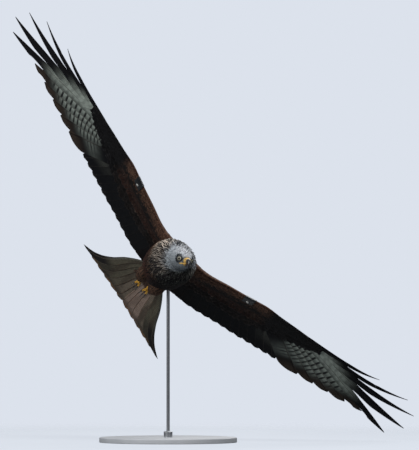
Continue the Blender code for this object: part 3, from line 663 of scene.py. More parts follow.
def outline(t, root_power, tip_power):
    """Share of a feather's width at t along it: t to one power times (1 - t) to another, up to 1."""
    fine = np.linspace(0, 1, 200)
    most = ((fine + 0.04) ** root_power * (1.0 - fine) ** tip_power).max()
    return (t + 0.04) ** root_power * np.maximum(1.0 - t, 0.0) ** tip_power / most


RIM = np.array([-1.0, 0.0, 1.0, 0.0])
RIDGE = np.array([0.0, 1.0, 0.0, -0.5])


def lay_feathers(surface, row, column, turn, length, width, rise, shape, rows, random):
    """Points and vane UVs of small feathers laid on a surface.

    A feather is a thin four-sided tube: two rims, a ridge above and a belly below. Its point at (t, rim) is
    the surface at root + t * length along the turned way + rim * width / 2 * outline(t) across it, lifted
    from the root's height to the tip's.
    """
    t = np.linspace(0, 1, rows)
    body = np.maximum(outline(t, *shape), 0.06)
    body[-1] = 0.1
    t, body = t[None, :, None], body[None, :, None]
    step = surface.read(row, column)[:, 6:8]
    turn, length, width = turn[:, None, None], length[:, None, None], width[:, None, None]
    bend = random.normal(0, 0.05, (len(row), 1, 1))
    along = t * length + np.zeros(4)
    across = RIM * body * width / 2 + bend * length * t**2
    c = column[:, None, None] + (along * np.sin(turn) + across * np.cos(turn)) / step[:, 1, None, None]
    r = surface.onward(row[:, None, None], c, along * np.cos(turn) - across * np.sin(turn))
    low, high = rise
    low = np.reshape(low, (-1, 1, 1))
    base = low + (high - low) * t**0.7 + random.normal(0, HEIGHT_SPREAD, (len(row), 1, 1))
    height = base + RIDGE * (VANE_THICKNESS + 0.02 * width * body)
    vane = np.stack(np.broadcast_arrays((RIM + 1) / 2, t + np.zeros(4)), axis=-1)
    return surface.at(r, c, height), np.broadcast_to(vane, (*r.shape, 2))


def bake_patches(row, column, surface, vane):
    """The OFBake map: each feather is a small patch at its root's place on the unrolled surface."""
    place = np.stack([column / surface.columns, 1 - row / surface.rows], axis=-1) % 1.0
    return 0.01 + 0.975 * place[:, None, None, :] + (vane - 0.5) * BAKE_PATCH


def feather_piece(name, surface, roots, sizes, colours, look, random, rows=6, shape=(0.5, 0.5)):
    """One coat piece: feathers at the roots, in three colours each (web, streak and fringe).

    Roots are rows, columns and turns; sizes are lengths, widths and the heights of root and tip; look is the
    material and the slot, which is not used.
    """
    points, vane = lay_feathers(surface, *roots, *sizes, shape, rows, random)
    uvs = {"Vane": vane, "OFBake": bake_patches(*roots[:2], surface, vane)}
    tones = {title: value[:, None, None, :] for title, value in zip(("web", "streak", "fringe"), colours)}
    return made_object(name, tube_mesh(name, points, uvs, tones, (0, 2)), *look)


def rows_of_roots(surface, rows, spacing, random, low=0.0, high=None):
    """Root places in staggered rows: along each row they stand about spacing apart, each a little off it."""
    high = surface.columns if high is None else high
    found = []
    for k, row in enumerate(rows):
        middle = np.linspace(low, high, 400)
        around = np.trapz(surface.read(np.full(400, row), middle)[:, 7], middle)
        gap = spacing[k] if np.ndim(spacing) else spacing
        count = max(3, int(around / gap))
        place = low + (np.arange(count) + 0.5 * (k % 2) + 0.25) / count * (high - low)
        off = random.normal(0, 0.12, (2, count))
        scale = surface.read(np.full(count, row), place)[:, 6:8]
        found.append([row + off[0] * gap / scale[:, 0], place + off[1] * gap / scale[:, 1]])
    return np.concatenate(found, axis=1)


def varied(random, count, value, spread=0.12):
    """The value for each of count feathers, made larger or smaller by up to a share of it."""
    return value * (1 + random.uniform(-spread, spread, count))


# Colours are linear red, green and blue
CHEEK = (0.38, 0.42, 0.45)
CROWN = (0.84, 0.87, 0.92)
LORE = (0.01, 0.01, 0.012)
CREAM = (0.72, 0.62, 0.52)
BUFF = (0.42, 0.27, 0.18)
RUST = (0.16, 0.068, 0.038)
# Deep rust of the breast, darkened further as painted shade on the underparts
SHADED_DEEP_RUST = (0.06, 0.028, 0.02)
MANTLE = (0.15, 0.062, 0.034)
# Painted shade: the dark grey green that stands for the throat's and neck's side that faces down
THROAT_SHADE = (0.064, 0.079, 0.073)
# Dark brown of the vent: its own colour deepened by painted shade, as it faces down
SHADED_VENT = (0.06, 0.035, 0.024)
RUMP = (0.26, 0.1, 0.045)
DARK = (0.009, 0.01, 0.011)
BLACK = (0.005, 0.005, 0.006)
INK = (0.012, 0.011, 0.012)
DASH = (0.045, 0.045, 0.05)
CHEEK_STREAK = (0.08, 0.085, 0.1)
JAW_STREAK = (0.012, 0.012, 0.014)
# Pale fringes laid into that painted shade of the throat
THROAT_SHADE_EDGE = (0.055, 0.066, 0.06)
SCAPULAR_TONES = ((0.105, 0.05, 0.03), (0.012, 0.01, 0.009), (0.25, 0.135, 0.075))
# Web, streak and fringe of the thigh feathers: their own brown darkened by painted shade round the legs
SHADED_TROUSER_TONES = ((0.075, 0.043, 0.03), DARK, (0.12, 0.07, 0.046))

# Web and fringe of the coverts by zone, and the spread of their lightness on each face
UNDER_REAR = ((0.016, 0.013, 0.012), (0.03, 0.025, 0.023))
UNDER_FRONT = ((0.074, 0.037, 0.026), (0.24, 0.142, 0.094))
UNDER_BAND = ((0.04, 0.019, 0.014), (0.17, 0.125, 0.095))
UPPER_REAR = ((0.075, 0.045, 0.03), (0.16, 0.1, 0.06))
UPPER_FRONT = ((0.2, 0.08, 0.04), (0.34, 0.17, 0.09))
UPPER_EDGE = ((0.105, 0.054, 0.036), (0.25, 0.145, 0.095))
UPPER_BAND = ((0.3, 0.2, 0.12), (0.55, 0.42, 0.28))
HAND_COVERTS = ((0.01, 0.0095, 0.01), (0.022, 0.021, 0.022))
COVERT_SPREAD = {-1: (0.6, 1.36), 1: (0.75, 1.25)}

# Long feathers
VANE_BLACK = (0.014, 0.013, 0.014)
PRIMARY_BELOW = (0.0075, 0.0075, 0.009)
PRIMARY_END = (0.07, 0.05, 0.037)
PRIMARY_ABOVE = (0.016, 0.015, 0.016)
WINDOW_ABOVE = (0.07, 0.06, 0.052)
QUILL_ABOVE = (0.02, 0.018, 0.017)
QUILL_BELOW = (0.012, 0.011, 0.011)
QUILL_WINDOW = (0.12, 0.115, 0.1)
SECONDARY_BELOW = (0.0085, 0.009, 0.0105)
SECONDARY_PALE = (0.06, 0.062, 0.054)
SECONDARY_END = (0.05, 0.028, 0.018)
SECONDARY_ABOVE = (0.045, 0.03, 0.023)
SECONDARY_END_ABOVE = (0.12, 0.085, 0.06)
TAIL_GREY = (0.142, 0.128, 0.09)
TAIL_PALE = (0.42, 0.31, 0.25)
TAIL_PATCH = (0.06, 0.042, 0.03)
TAIL_LINE = (0.145, 0.15, 0.13)
TAIL_CORNER = (0.022, 0.019, 0.018)
# Painted glow: the tail's rust ends seen from below with light through them from behind
TAIL_TIP_GLOW = (0.28, 0.145, 0.065)
TAIL_CORNER_ABOVE = (0.035, 0.025, 0.022)
TAIL_TIP_ABOVE = (0.5, 0.28, 0.12)

# Bill and eyes, and the distances forward between which each half of the bill darkens
HORN_BLUE = (0.075, 0.08, 0.09)
HORN_TIP = (0.012, 0.012, 0.014)
BILL_YELLOW = (0.62, 0.38, 0.07)
BILL_END = (0.035, 0.035, 0.04)
BILL_DARK = {"upper": (0.032, 0.044), "lower": (0.027, 0.034)}
IRIS_RIM = (0.1, 0.085, 0.05)
PUPIL = (0.003, 0.003, 0.003)
EYE_EDGE = (0.006, 0.006, 0.007)


def near_angle(angle, middle):
    """1 at an angle round the body, falling to 0 a quarter turn away from it, in degrees."""
    return np.clip(np.cos(angle - math.radians(middle)), 0, 1)


def body_tones(row, column, random):
    """Web, streak and fringe of the body's feathers, from their place between bill and tail.

    The cheek is grey and the crown nearly white, with dark dashes. A dark band runs from the bill to the eye:
    the lore's dark feathers with the brow's shadow painted on them. Streaks lie under the cheek. The collar's
    cream and buff feathers have stripes along the neck, and painted shade darkens them below. Behind it the
    breast is deep rust darkened by painted shade, turning to rust towards the back, and the mantle and rump
    are rust. The side of the throat that faces down gets a dark painted shade, and the vent is its own dark
    brown deepened by painted shade. Past counts tens of rows behind the face.
    """
    count = len(row)
    angle = column * math.tau / ROUND
    crown = near_angle(angle, 75)
    back = smooth(-0.2, 0.5, np.sin(angle))
    local = to_head(BODY.read(row, column)[:, :3])
    past = (row - (FACE_ROWS + 17 * crown + 3 * near_angle(angle, 225))) / 10
    ring = smooth(-0.9, 0.5, past)
    # Painted shade on the side of the throat and neck that faces down, from the lower face to the breast
    shade = smooth(0.32, 0.88, near_angle(angle, 316)) * smooth(26, 50, row) * (1 - smooth(120, 170, row))
    web = layered(
        CHEEK,
        (CROWN, crown),
        (CREAM, ring),
        (BUFF, smooth(1.0, 2.6, past)),
        # The breast's deep rust holds painted shade of the underparts
        (mix(SHADED_DEEP_RUST, RUST, near_angle(angle, 120)), smooth(1.8, 3.6, past)),
        (mix(SHADED_DEEP_RUST, MANTLE, back), smooth(3.6, 6.5, past)),
        # The vent's dark brown holds painted shade
        (SHADED_VENT, smooth(100, 150, row) * (1 - back)),
        (RUMP, smooth(150, 210, row) * back),
        (mix(THROAT_SHADE, DARK, smooth(0.5, 2.5, past)), shade * 0.86),
    )

    collar = ring * (1 - smooth(2.0, 4.0, past))
    # Painted shade: the collar darkens on its lower side, which faces down
    under = (collar * smooth(0.25, -0.85, np.sin(angle)))[:, None]
    stripe = smooth(-0.4, 0.4, np.sin(column * math.tau / STRIPE_COLUMNS + 0.7 * np.sin(row / 7)))
    fringe = mix(web * 1.25, web * 1.5 + 0.004, smooth(2.5, 5.0, past)) * (1 - 0.5 * under)
    fringe = mix(fringe, fringe * (0.4 + 0.75 * stripe[:, None]), collar)
    # Pale fringes inside the painted shade of the throat
    fringe = fringe + np.array(THROAT_SHADE_EDGE) * (shade * (1 - smooth(1.0, 3.5, past)))[:, None]
    web = mix(web * (1 - 0.85 * under), INK, collar * (1 - stripe) * 0.8)

    face = (1 - crown) * (1 - ring)
    streak = mix(INK, mix(CHEEK, CHEEK_STREAK, 0.72), face * (1 - shade))
    dash = (random.uniform(0, 1, count) < 0.12 + 0.1 * crown) * smooth(4, 10, row) * (1 - ring)
    web, fringe = (mix(tone, DASH, dash * (0.35 + 0.5 * crown)) for tone in (web, fringe))
    jaw = smooth(JAW_Z, JAW_LOW_Z, local[:, 2]) * (1 - ring) * (1 - crown)
    streak = mix(streak, JAW_STREAK, jaw * 0.85)
    web = mix(web, np.array(CHEEK) * 0.8, jaw * (random.uniform(0, 1, count) < 0.35) * 0.7 * (1 - shade))
    # A dark band before the eye, under the brow: the lore's dark feathers with the brow's painted shadow on
    # them
    lore = smooth(0.004, 0.01, local[:, 0]) * np.exp(-(((local[:, 2] - 0.0022) / 0.0038) ** 2)) * 0.75
    web, fringe = (mix(tone, LORE, lore) for tone in (web, fringe))
    eyes = [from_eye(local, side) for side in SIDES.values()]
    near = [(axial > -0.001) * (1 - smooth(1.26, 1.54, radial / LID_RADIUS)) for axial, radial in eyes]
    web, fringe, streak = (mix(tone, LORE, np.maximum(*near) * 0.9) for tone in (web, fringe, streak))
    tone = random.uniform(0.78, 1.22, (count, 1))
    return web * tone, streak * random.uniform(0.6, 1.2, (count, 1)), fringe * tone


def wing_tones(share, l, face, random):
    """Web, streak and fringe of the coverts, from their place in the wing.

    Below, the leading coverts are rust with paler tips, further back at the root and the wrist, and the rest
    blackish brown with a few pale tips. Above, a buff band crosses the middle coverts of the arm, between a
    rust front and brown rear. Outside the wrist both faces are blackish.
    """
    count = len(share)
    if face < 0:
        reach = 0.15 + 0.18 * (1 - smooth(0.05, 0.13, l)) + 0.1 * smooth(0.22, 0.27, l)
        front = 1 - smooth(-0.08, 0.1, share - reach + random.normal(0, 0.09, count))
        band = smooth(0.4, 0.5, share) * (1 - smooth(0.66, 0.8, share))
        tips = band * (random.uniform(0, 1, count) > 0.72) * 0.8
        zones = [(UNDER_FRONT, front[:, None]), (UNDER_BAND, np.stack([band, tips], axis=1))]
        tones = layered(UNDER_REAR, *zones)
    else:
        band = smooth(0.36, 0.5, share) * (1 - smooth(0.66, 0.82, share))
        band = band * smooth(0.07, 0.095, l) * (1 - smooth(0.2, 0.3, l))
        front, edge = (1 - smooth(low, high, share)[:, None] for low, high in ((0.18, 0.42), (0.02, 0.12)))
        tones = layered(UPPER_REAR, (UPPER_FRONT, front), (UPPER_EDGE, edge), (UPPER_BAND, band[:, None]))
    tones = mix(tones, HAND_COVERTS, smooth(0.262, 0.3, l)[:, None])
    tone = random.uniform(*COVERT_SPREAD[face], (count, 1))
    return tones[:, 0] * tone, np.broadcast_to(BLACK, (count, 3)) * tone, tones[:, 1] * tone


# Node groups and materials


def node(tree, kind, inputs=None, **settings):
    """A node with its settings, and its inputs linked from sockets or set to values."""
    made = tree.nodes.new(kind)
    for key, value in settings.items():
        setattr(made, key, value)
    for key, value in (inputs or {}).items():
        if isinstance(value, bpy.types.NodeSocket):
            tree.links.new(value, made.inputs[key])
        else:
            made.inputs[key].default_value = value
    return made


def math_node(tree, operation, *values, clamp=False):
    made = node(tree, "ShaderNodeMath", dict(enumerate(values)), operation=operation, use_clamp=clamp)
    return made.outputs[0]


def colour_mix(tree, factor, first, second, blend="MIX"):
    made = node(tree, "ShaderNodeMix", data_type="RGBA", blend_type=blend)
    for socket, value in ((made.inputs[0], factor), (made.inputs[6], first), (made.inputs[7], second)):
        if isinstance(value, bpy.types.NodeSocket):
            tree.links.new(value, socket)
        else:
            socket.default_value = value if isinstance(value, float) else (*value, 1.0)
    return made.outputs[2]


def step_node(tree, value, low, high):
    made = node(tree, "ShaderNodeMapRange", {"Value": value, "From Min": low, "From Max": high})
    made.interpolation_type = "SMOOTHSTEP"
    return made.outputs[0]


def new_group(name, inputs, outputs):
    """An empty shader node group, its input node's sockets by name, and its output node."""
    group = bpy.data.node_groups.new(name, "ShaderNodeTree")
    for title, kind, value in inputs:
        made = group.interface.new_socket(title, in_out="INPUT", socket_type=kind)
        made.default_value = value
    for title, kind in outputs:
        group.interface.new_socket(title, in_out="OUTPUT", socket_type=kind)
    entry, leave = group.nodes.new("NodeGroupInput"), group.nodes.new("NodeGroupOutput")
    return group, entry.outputs, leave.inputs


def rest_of(tree, value, clamp=False):
    """1 - value."""
    return math_node(tree, "SUBTRACT", 1.0, value, clamp=clamp)


def wave_node(tree, side, lean, place, count):
    """The sine of count whole waves along a feather, which lean back or forward from its shaft."""
    run = math_node(tree, "MULTIPLY_ADD", side, lean, place)
    turn = math_node(tree, "MULTIPLY", math_node(tree, "MULTIPLY", run, count), math.tau)
    return math_node(tree, "SINE", turn)


def vane_group():
    """Masks from a feather's own map: shaft streak, fringe, cross bars, quill and the run of the barbs."""
    value = "NodeSocketFloat"
    starts = {"Streak Width": 0.3, "Fringe Width": 0.3, "Bars": 10.0, "Barbs": 40.0}
    inputs = [(title, value, start) for title, start in starts.items()]
    outputs = [(title, value) for title in ("Streak", "Fringe", "Bar", "Quill", "Barb")]
    tree, entry, leave = new_group("vane marks", inputs, outputs)
    uv = node(tree, "ShaderNodeUVMap", uv_map="Vane").outputs[0]
    place = node(tree, "ShaderNodeSeparateXYZ", {0: uv}).outputs
    where = node(tree, "ShaderNodeTexCoord").outputs["Object"]
    ragged = node(tree, "ShaderNodeTexNoise", {"Vector": where, "Scale": 260.0, "Detail": 2.0}).outputs[0]
    rough = math_node(tree, "MULTIPLY", math_node(tree, "SUBTRACT", ragged, 0.5), 0.35)
    side = math_node(tree, "ABSOLUTE", math_node(tree, "MULTIPLY_ADD", place[0], 2.0, -1.0))
    edge = math_node(tree, "ADD", side, rough)
    wide = math_node(tree, "MULTIPLY", entry["Streak Width"], math_node(tree, "SUBTRACT", 1.12, place[1]))
    streak = rest_of(tree, step_node(tree, math_node(tree, "DIVIDE", edge, wide), 0.75, 1.25))
    tip = math_node(tree, "MAXIMUM", edge, math_node(tree, "ADD", place[1], rough))
    fringe = rest_of(tree, math_node(tree, "DIVIDE", rest_of(tree, tip), entry["Fringe Width"]), True)
    bar = math_node(tree, "ADD", wave_node(tree, side, -0.02, place[1], entry["Bars"]), rough)
    barb = wave_node(tree, side, -0.35, place[1], entry["Barbs"])
    for title, socket in {
        "Streak": streak,
        "Fringe": step_node(tree, fringe, 0.1, 0.6),
        "Bar": step_node(tree, bar, 0.1, 0.7),
        "Quill": rest_of(tree, step_node(tree, side, 0.03, 0.09)),
        "Barb": math_node(tree, "MULTIPLY_ADD", barb, 0.5, 0.5),
    }.items():
        tree.links.new(socket, leave[title])
    return tree


def mottle_group():
    """A soft mottle and a fine grain from object coordinates."""
    value = "NodeSocketFloat"
    group, entry, leave = new_group("mottle", [("Scale", value, 60.0)], [("Soft", value), ("Fine", value)])
    where = node(group, "ShaderNodeTexCoord").outputs["Object"]
    soft = node(group, "ShaderNodeTexNoise", {"Vector": where, "Scale": entry["Scale"], "Detail": 3.0})
    fine = node(group, "ShaderNodeTexNoise", {"Vector": where, "Scale": 900.0, "Detail": 2.0})
    group.links.new(soft.outputs[0], leave["Soft"])
    group.links.new(fine.outputs[0], leave["Fine"])
    return group


def new_material(name, roughness, **constants):
    """A Principled material, its tree and shader; the constants go on the shader's own sockets."""
    made = bpy.data.materials.new(name)
    made.use_nodes = True
    shader = made.node_tree.nodes["Principled BSDF"]
    shader.inputs["Roughness"].default_value = roughness
    for key, value in constants.items():
        shader.inputs[key.replace("_", " ").title().replace("Ior", "IOR")].default_value = value
    return made, made.node_tree, shader


def use_group(tree, group, **inputs):
    made = tree.nodes.new("ShaderNodeGroup")
    made.node_tree = group
    for key, value in inputs.items():
        made.inputs[key.replace("_", " ")].default_value = value
    return made.outputs


def attribute(tree, name):
    return node(tree, "ShaderNodeAttribute", attribute_name=name).outputs


def bump(tree, shader, height, strength, distance):
    made = node(tree, "ShaderNodeBump", {"Height": height, "Strength": strength, "Distance": distance})
    tree.links.new(made.outputs[0], shader.inputs["Normal"])


def shaded(tree, shader, colour, tone):
    """The colour times a grey tone, on the shader's base colour."""
    grey = node(tree, "ShaderNodeCombineColor", {0: tone, 1: tone, 2: tone}).outputs[0]
    tree.links.new(colour_mix(tree, 1.0, colour, grey, "MULTIPLY"), shader.inputs["Base Color"])


def barbed(tree, shader, colour, marks, mottle, barb, soft):
    """The colour under the barbs' tone and the mottle's, each given as its swing and its low."""
    tones = [math_node(tree, "MULTIPLY_ADD", value, *span) for value, span in ((marks, barb), (mottle, soft))]
    shaded(tree, shader, colour, math_node(tree, "MULTIPLY", *tones))


def feather_material(name, streak, fringe, barbs):
    """Web colour, a dark streak along the shaft, a fringe round the edge, and barbs as tone and bump."""
    made, tree, shader = new_material(name, 0.62, specular_ior_level=0.06)
    marks = use_group(tree, GROUPS["vane"], Streak_Width=streak, Fringe_Width=fringe, Barbs=barbs)
    mottle = use_group(tree, GROUPS["mottle"], Scale=150.0)
    colour = colour_mix(tree, marks["Fringe"], attribute(tree, "web")[0], attribute(tree, "fringe")[0])
    colour = colour_mix(tree, marks["Streak"], colour, attribute(tree, "streak")[0])
    barbed(tree, shader, colour, marks["Barb"], mottle["Soft"], (0.22, 0.8), (0.5, 0.78))
    bump(tree, shader, marks["Barb"], 0.35, 0.0003)
    return made


def flight_material(name, bars, barbs):
    """Web colour with cross bars where the web's alpha is high, a horn quill, and barbs as tone and bump."""
    made, tree, shader = new_material(name, 0.55, specular_ior_level=0.08)
    marks = use_group(tree, GROUPS["vane"], Fringe_Width=0.06, Bars=bars, Barbs=barbs)
    mottle = use_group(tree, GROUPS["mottle"], Scale=70.0)
    web = attribute(tree, "web")
    barred = math_node(tree, "MULTIPLY", marks["Bar"], web["Alpha"])
    colour = colour_mix(tree, barred, web[0], VANE_BLACK)
    colour = colour_mix(tree, marks["Fringe"], colour, attribute(tree, "fringe")[0])
    colour = colour_mix(tree, marks["Quill"], colour, attribute(tree, "quill")[0])
    barbed(tree, shader, colour, marks["Barb"], mottle["Soft"], (0.18, 0.82), (0.7, 0.66))
    bump(tree, shader, marks["Barb"], 0.3, 0.0004)
    return made


def plain_material(name, light, dark, roughness, scale, depth=0.0003, **constants):
    """Two tones mottled together, with a fine bump: horn, bare skin, plastic or paint."""
    made, tree, shader = new_material(name, roughness, **constants)
    mottle = use_group(tree, GROUPS["mottle"], Scale=scale)
    share = step_node(tree, mottle["Soft"], 0.35, 0.65)
    tree.links.new(colour_mix(tree, share, dark, light), shader.inputs["Base Color"])
    uneven = math_node(tree, "MULTIPLY_ADD", mottle["Fine"], 0.16, roughness - 0.08)
    tree.links.new(uneven, shader.inputs["Roughness"])
    bump(tree, shader, mottle["Fine"], 0.35, depth)
    return made


GROUPS = {}
MATERIALS = {}


def own_tone_material(name, roughness, scale, tone=(0.5, 0.75), strength=0.3, depth=0.0002, **constants):
    """The mesh's own tones under a soft mottle, with a fine bump: skin, horn, cere and eyes."""
    made, tree, shader = new_material(name, roughness, **constants)
    mottle = use_group(tree, GROUPS["mottle"], Scale=scale)
    shaded(tree, shader, attribute(tree, "web")[0], math_node(tree, "MULTIPLY_ADD", mottle["Soft"], *tone))
    bump(tree, shader, mottle["Fine"], strength, depth)
    return made


def make_materials():
    GROUPS.update(vane=vane_group(), mottle=mottle_group())
    plain, own_tone = plain_material, own_tone_material
    coat = {"coat_weight": 0.3, "coat_roughness": 0.2}
    wet = {"specular_ior_level": 0.14, "coat_weight": 0.1, "coat_roughness": 0.03}
    MATERIALS.update(
        head=feather_material("head feathers", 0.55, 0.2, 9.0),
        hackle=feather_material("neck hackles", 1.12, 0.17, 14.0),
        body=feather_material("body feathers", 0.34, 0.3, 18.0),
        covert=feather_material("covert feathers", 0.14, 0.22, 20.0),
        flight=flight_material("flight feathers", 19.0, 70.0),
        tail=flight_material("tail feathers", 34.0, 80.0),
        skin=own_tone("feathered skin", 0.85, 90.0, (0.35, 0.15), 0.4, 0.0008, specular_ior_level=0.05),
        wax=own_tone("cere and gape", 0.38, 300.0, coat_weight=0.2, coat_roughness=0.3),
        horn=own_tone("bill horn", 0.28, 200.0, **coat),
        eye=own_tone("eye", 0.08, 700.0, depth=0.00002, **wet),
        foot=plain("foot skin", (0.72, 0.4, 0.045), (0.5, 0.25, 0.03), 0.5, 350.0, 0.0006),
        claw=plain("claw horn", (0.035, 0.032, 0.032), (0.012, 0.012, 0.013), 0.3, 250.0),
        lid=plain("eyelid skin", (0.02, 0.02, 0.023), (0.008, 0.008, 0.009), 0.42, 500.0),
        tag=plain("tag sheet", (0.016, 0.018, 0.02), (0.01, 0.011, 0.013), 0.42, 60.0, 0.0001),
        stud=plain("tag stud", (0.62, 0.62, 0.58), (0.5, 0.5, 0.47), 0.35, 400.0, 0.0001),
        steel=plain("brushed steel", (0.62, 0.63, 0.65), (0.5, 0.51, 0.53), 0.3, 500.0, 0.0001, metallic=1.0),
        paint=plain("base paint", (0.6, 0.62, 0.65), (0.57, 0.59, 0.62), 0.45, 25.0, 0.0001),
    )


# Pieces


def union(pieces):
    """One closed mesh from several that cross, added one at a time."""
    whole = pieces[0]
    for piece in pieces[1:]:
        modifier = whole.modifiers.new("join", "BOOLEAN")
        modifier.operation = "UNION"
        modifier.material_mode = "TRANSFER"
        modifier.object = piece
        graph = bpy.context.evaluated_depsgraph_get()
        mesh = bpy.data.meshes.new_from_object(whole.evaluated_get(graph))
        whole.modifiers.clear()
        whole.data = mesh
        bpy.data.objects.remove(piece)
    return whole


def part_object(name, points, material):
    """A helper object from rings of points, to be joined into the skin."""
    mesh = tube_mesh(name, points[None])
    mesh.materials.append(MATERIALS[material])
    return linked(name, mesh)


def arm_rings(side):
    """Closed sections of the wing's arm, under its coat, from inside the trunk to the end of the hand."""
    l = np.linspace(ARM_START_L, HAND_END_L - 0.012, 70)[:, None]
    share = (0.004 + 0.966 * np.linspace(0, 1, 24) ** 1.5)[None, :]
    f = leading(l) + (covert_line(l) - leading(l)) * share
    middle = middle_height(f, l)
    half = np.maximum(arm_thickness(share, l) / 2 - ARM_COAT, 0.0005)
    upper, lower = placed(f, side * l, middle + half), placed(f, side * l, middle - half)
    return np.concatenate([upper, lower[:, ::-1]], axis=1)


def thigh_path(side):
    return np.stack([THIGH_F, side * np.array(THIGH_SIDE) + BODY_YAW * np.array(THIGH_F), THIGH_U], axis=1)


def thigh_rings(side, depth, rows, columns):
    """Rings about the thigh's bent path, with its radii less the coat's depth."""
    known = np.arange(4)
    t = np.linspace(0, 3, rows)
    path = np.stack([curve_through(t, known, values) for values in thigh_path(side).T], axis=1)
    return tube_about(placed(*path.T), curve_through(t, known, THIGH_RADII) - depth, columns)


def toe_path(start, turn, droop, bend, length, side, count=24):
    """Points along a toe or claw, in f, l and u: it leaves at the turn and droop, and bends downwards."""
    down = np.radians(droop + bend * np.linspace(0, 1, count))
    turn, flat = math.radians(turn), np.cos(down)
    way = np.stack([-flat * math.cos(turn), side * flat * math.sin(turn), -np.sin(down)], axis=1)
    steps = (way[1:] + way[:-1]) / 2 * length / (count - 1)
    return start + np.concatenate([np.zeros((1, 3)), np.cumsum(steps, axis=0)])


def foot_ball(side):
    return np.array([FOOT_F, side * FOOT_SIDE + BODY_YAW * FOOT_F, FOOT_U])


def foot_parts(side):
    """The bare leg and its toes: tubes whose radius steps in at each scute and swells at the pads."""
    heel = thigh_path(side)[-1]
    steps = np.linspace(-0.15, 1.05, 40)[:, None]
    ripple = 1 + 0.04 * np.abs(np.sin(steps[:, 0] * math.pi * 9))
    radii = (TARSUS_RADIUS + 0.0012 * (2 * steps[:, 0] - 1) ** 2) * ripple
    shank = heel + (foot_ball(side) - heel) * steps
    parts = [part_object("shank", tube_about(placed(*shank.T), radii, 20), "foot")]
    t = np.linspace(0, 1, 48)
    pads = 1 + 0.1 * np.cos(t * math.pi * 6) + 0.05 * np.abs(np.sin(t * math.pi * 12))
    for turn, droop, length in TOES:
        path = toe_path(foot_ball(side), turn, droop, TOE_BEND, length, side, 48)
        rings = tube_about(placed(*path.T), TOE_RADIUS * (1 - 0.28 * t) * pads, 16)
        parts.append(part_object("toe", rings, "foot"))
    return parts


def build_skin(settings):
    """One closed skin under the coat: head, neck, trunk, tail base, both arms, thighs and bare feet."""
    rows, columns = np.broadcast_arrays(
        np.linspace(0, TAIL_COVERT_ROW, 150)[:, None], np.arange(0, ROUND, 2.0)[None, :]
    )
    depths = [HEAD_COAT, NECK_COAT, settings.coat_depth, RUMP_COAT]
    depth = np.interp(rows, [0, NECK_ROW, TRUNK_ROW, TAIL_COVERT_ROW], depths)
    pieces = [part_object("skin", BODY.at(rows, columns, -depth), "skin")]
    for side in SIDES.values():
        pieces.append(part_object("arm", arm_rings(side), "skin"))
        pieces.append(part_object("thigh", thigh_rings(side, THIGH_COAT, 30, 24), "skin"))
        pieces += foot_parts(side)
    skin = union(pieces)
    mesh = skin.data
    mesh.shade_smooth()
    points = np.zeros(len(mesh.vertices) * 3, np.float32)
    mesh.vertices.foreach_get("co", points)
    tones = skin_tones(points.reshape(-1, 3).astype(float))
    layer = mesh.color_attributes.new("web", "FLOAT_COLOR", "POINT")
    layer.data.foreach_set("color", tones.astype(np.float32).ravel())
    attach(skin, "root")
    arms = [f"wing_{side}_{part}" for side in SIDES for part in ("upper_arm", "forearm", "hand")]
    legs = [f"leg_{side}_{part}" for side in SIDES for part in ("thigh", "foot")]
    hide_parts("trunk", "tail_base", "neck", "head", *arms, *legs)


def skin_tones(points):
    """The coat's web colour at points of the skin: the body's by the way along it, the wings' by plan."""
    f, l, u = ((points - SHOULDERS) @ np.stack([FORWARD, LEFT, BACK]).T).T
    spine_f = (BODY.grid[:, 1:-2, :3].mean(axis=1) - SHOULDERS) @ FORWARD
    order = np.argsort(spine_f)
    row = np.interp(f, spine_f[order], np.arange(BODY.rows)[order])
    angle = np.arctan2((u - (AXIS_U + 0.01)) / 0.06, l / 0.06) % math.tau
    random = np.random.default_rng(3)
    body = body_tones(row, angle * ROUND / math.tau, random)[0]
    out = np.abs(l)
    wing = wing_tones(np.clip(covert_share(f, out), 0, 1), out, -1, random)[0]
    tones = mix(body, wing, smooth(0.055, 0.075, out))
    return np.concatenate([tones, np.ones((len(tones), 1))], axis=1)


def head_rows():
    """Rows of the head's feathers, and the gap between roots in each, which grows towards the neck."""
    rows, gaps = [1.0], []
    while rows[-1] < NECK_ROW + 4:
        gaps.append(HEAD_GAP + HEAD_GAP_GROWTH * min(rows[-1] / NECK_ROW, 1))
        rows.append(rows[-1] + gaps[-1] * 0.8 / HEAD_ROW_STEP)
    return rows, gaps + gaps[-1:]


def round_eye(local, side):
    """How far feathers near one eye turn, the share of their length that they keep, and which ones stay.

    They turn as a stream does round a pillar of the lids' radius, whose way is (1 - (x² - y²) / r⁴,
    -2xy / r⁴) for x and y in lid radii, with x towards the neck.
    """
    centre, look = eye_frame(side)[:2]
    axial, radial = from_eye(local, side)
    back = look * look[0] - [1.0, 0.0, 0.0]
    back /= np.linalg.norm(back)
    x = (local - centre) @ back / LID_RADIUS
    y = (local - centre) @ np.cross(look, back) * side / LID_RADIUS
    r = np.maximum(radial / LID_RADIUS, 0.2)
    near = axial > 0
    bent = np.arctan2(-2 * x * y / r**4, 1 - (x**2 - y**2) / r**4)
    turned = near * np.where(r < 3.0, bent, 0) * (1 - smooth(1.6, 3.0, r))
    shrunk = 1 - 0.6 * near * (1 - smooth(1.0, 1.9, r)) * (x < 0.3)
    return turned, shrunk, (r > 1.05) | ~near


def gape_line(place):
    """x, y and z of the gape's middle at places along it, from 0 to 4."""
    return [curve_through(place, np.arange(5), values) for values in zip(*GAPE_PATH)]


def from_gape(local):
    """Distance of head points from the corner of the mouth on their side."""
    path = np.stack(gape_line(np.linspace(0, 4, 30)), axis=1)
    folded = local * [1, 0, 1] + np.abs(local) * [0, 1, 0]
    return np.linalg.norm(folded[:, None] - path, axis=-1).min(axis=1)


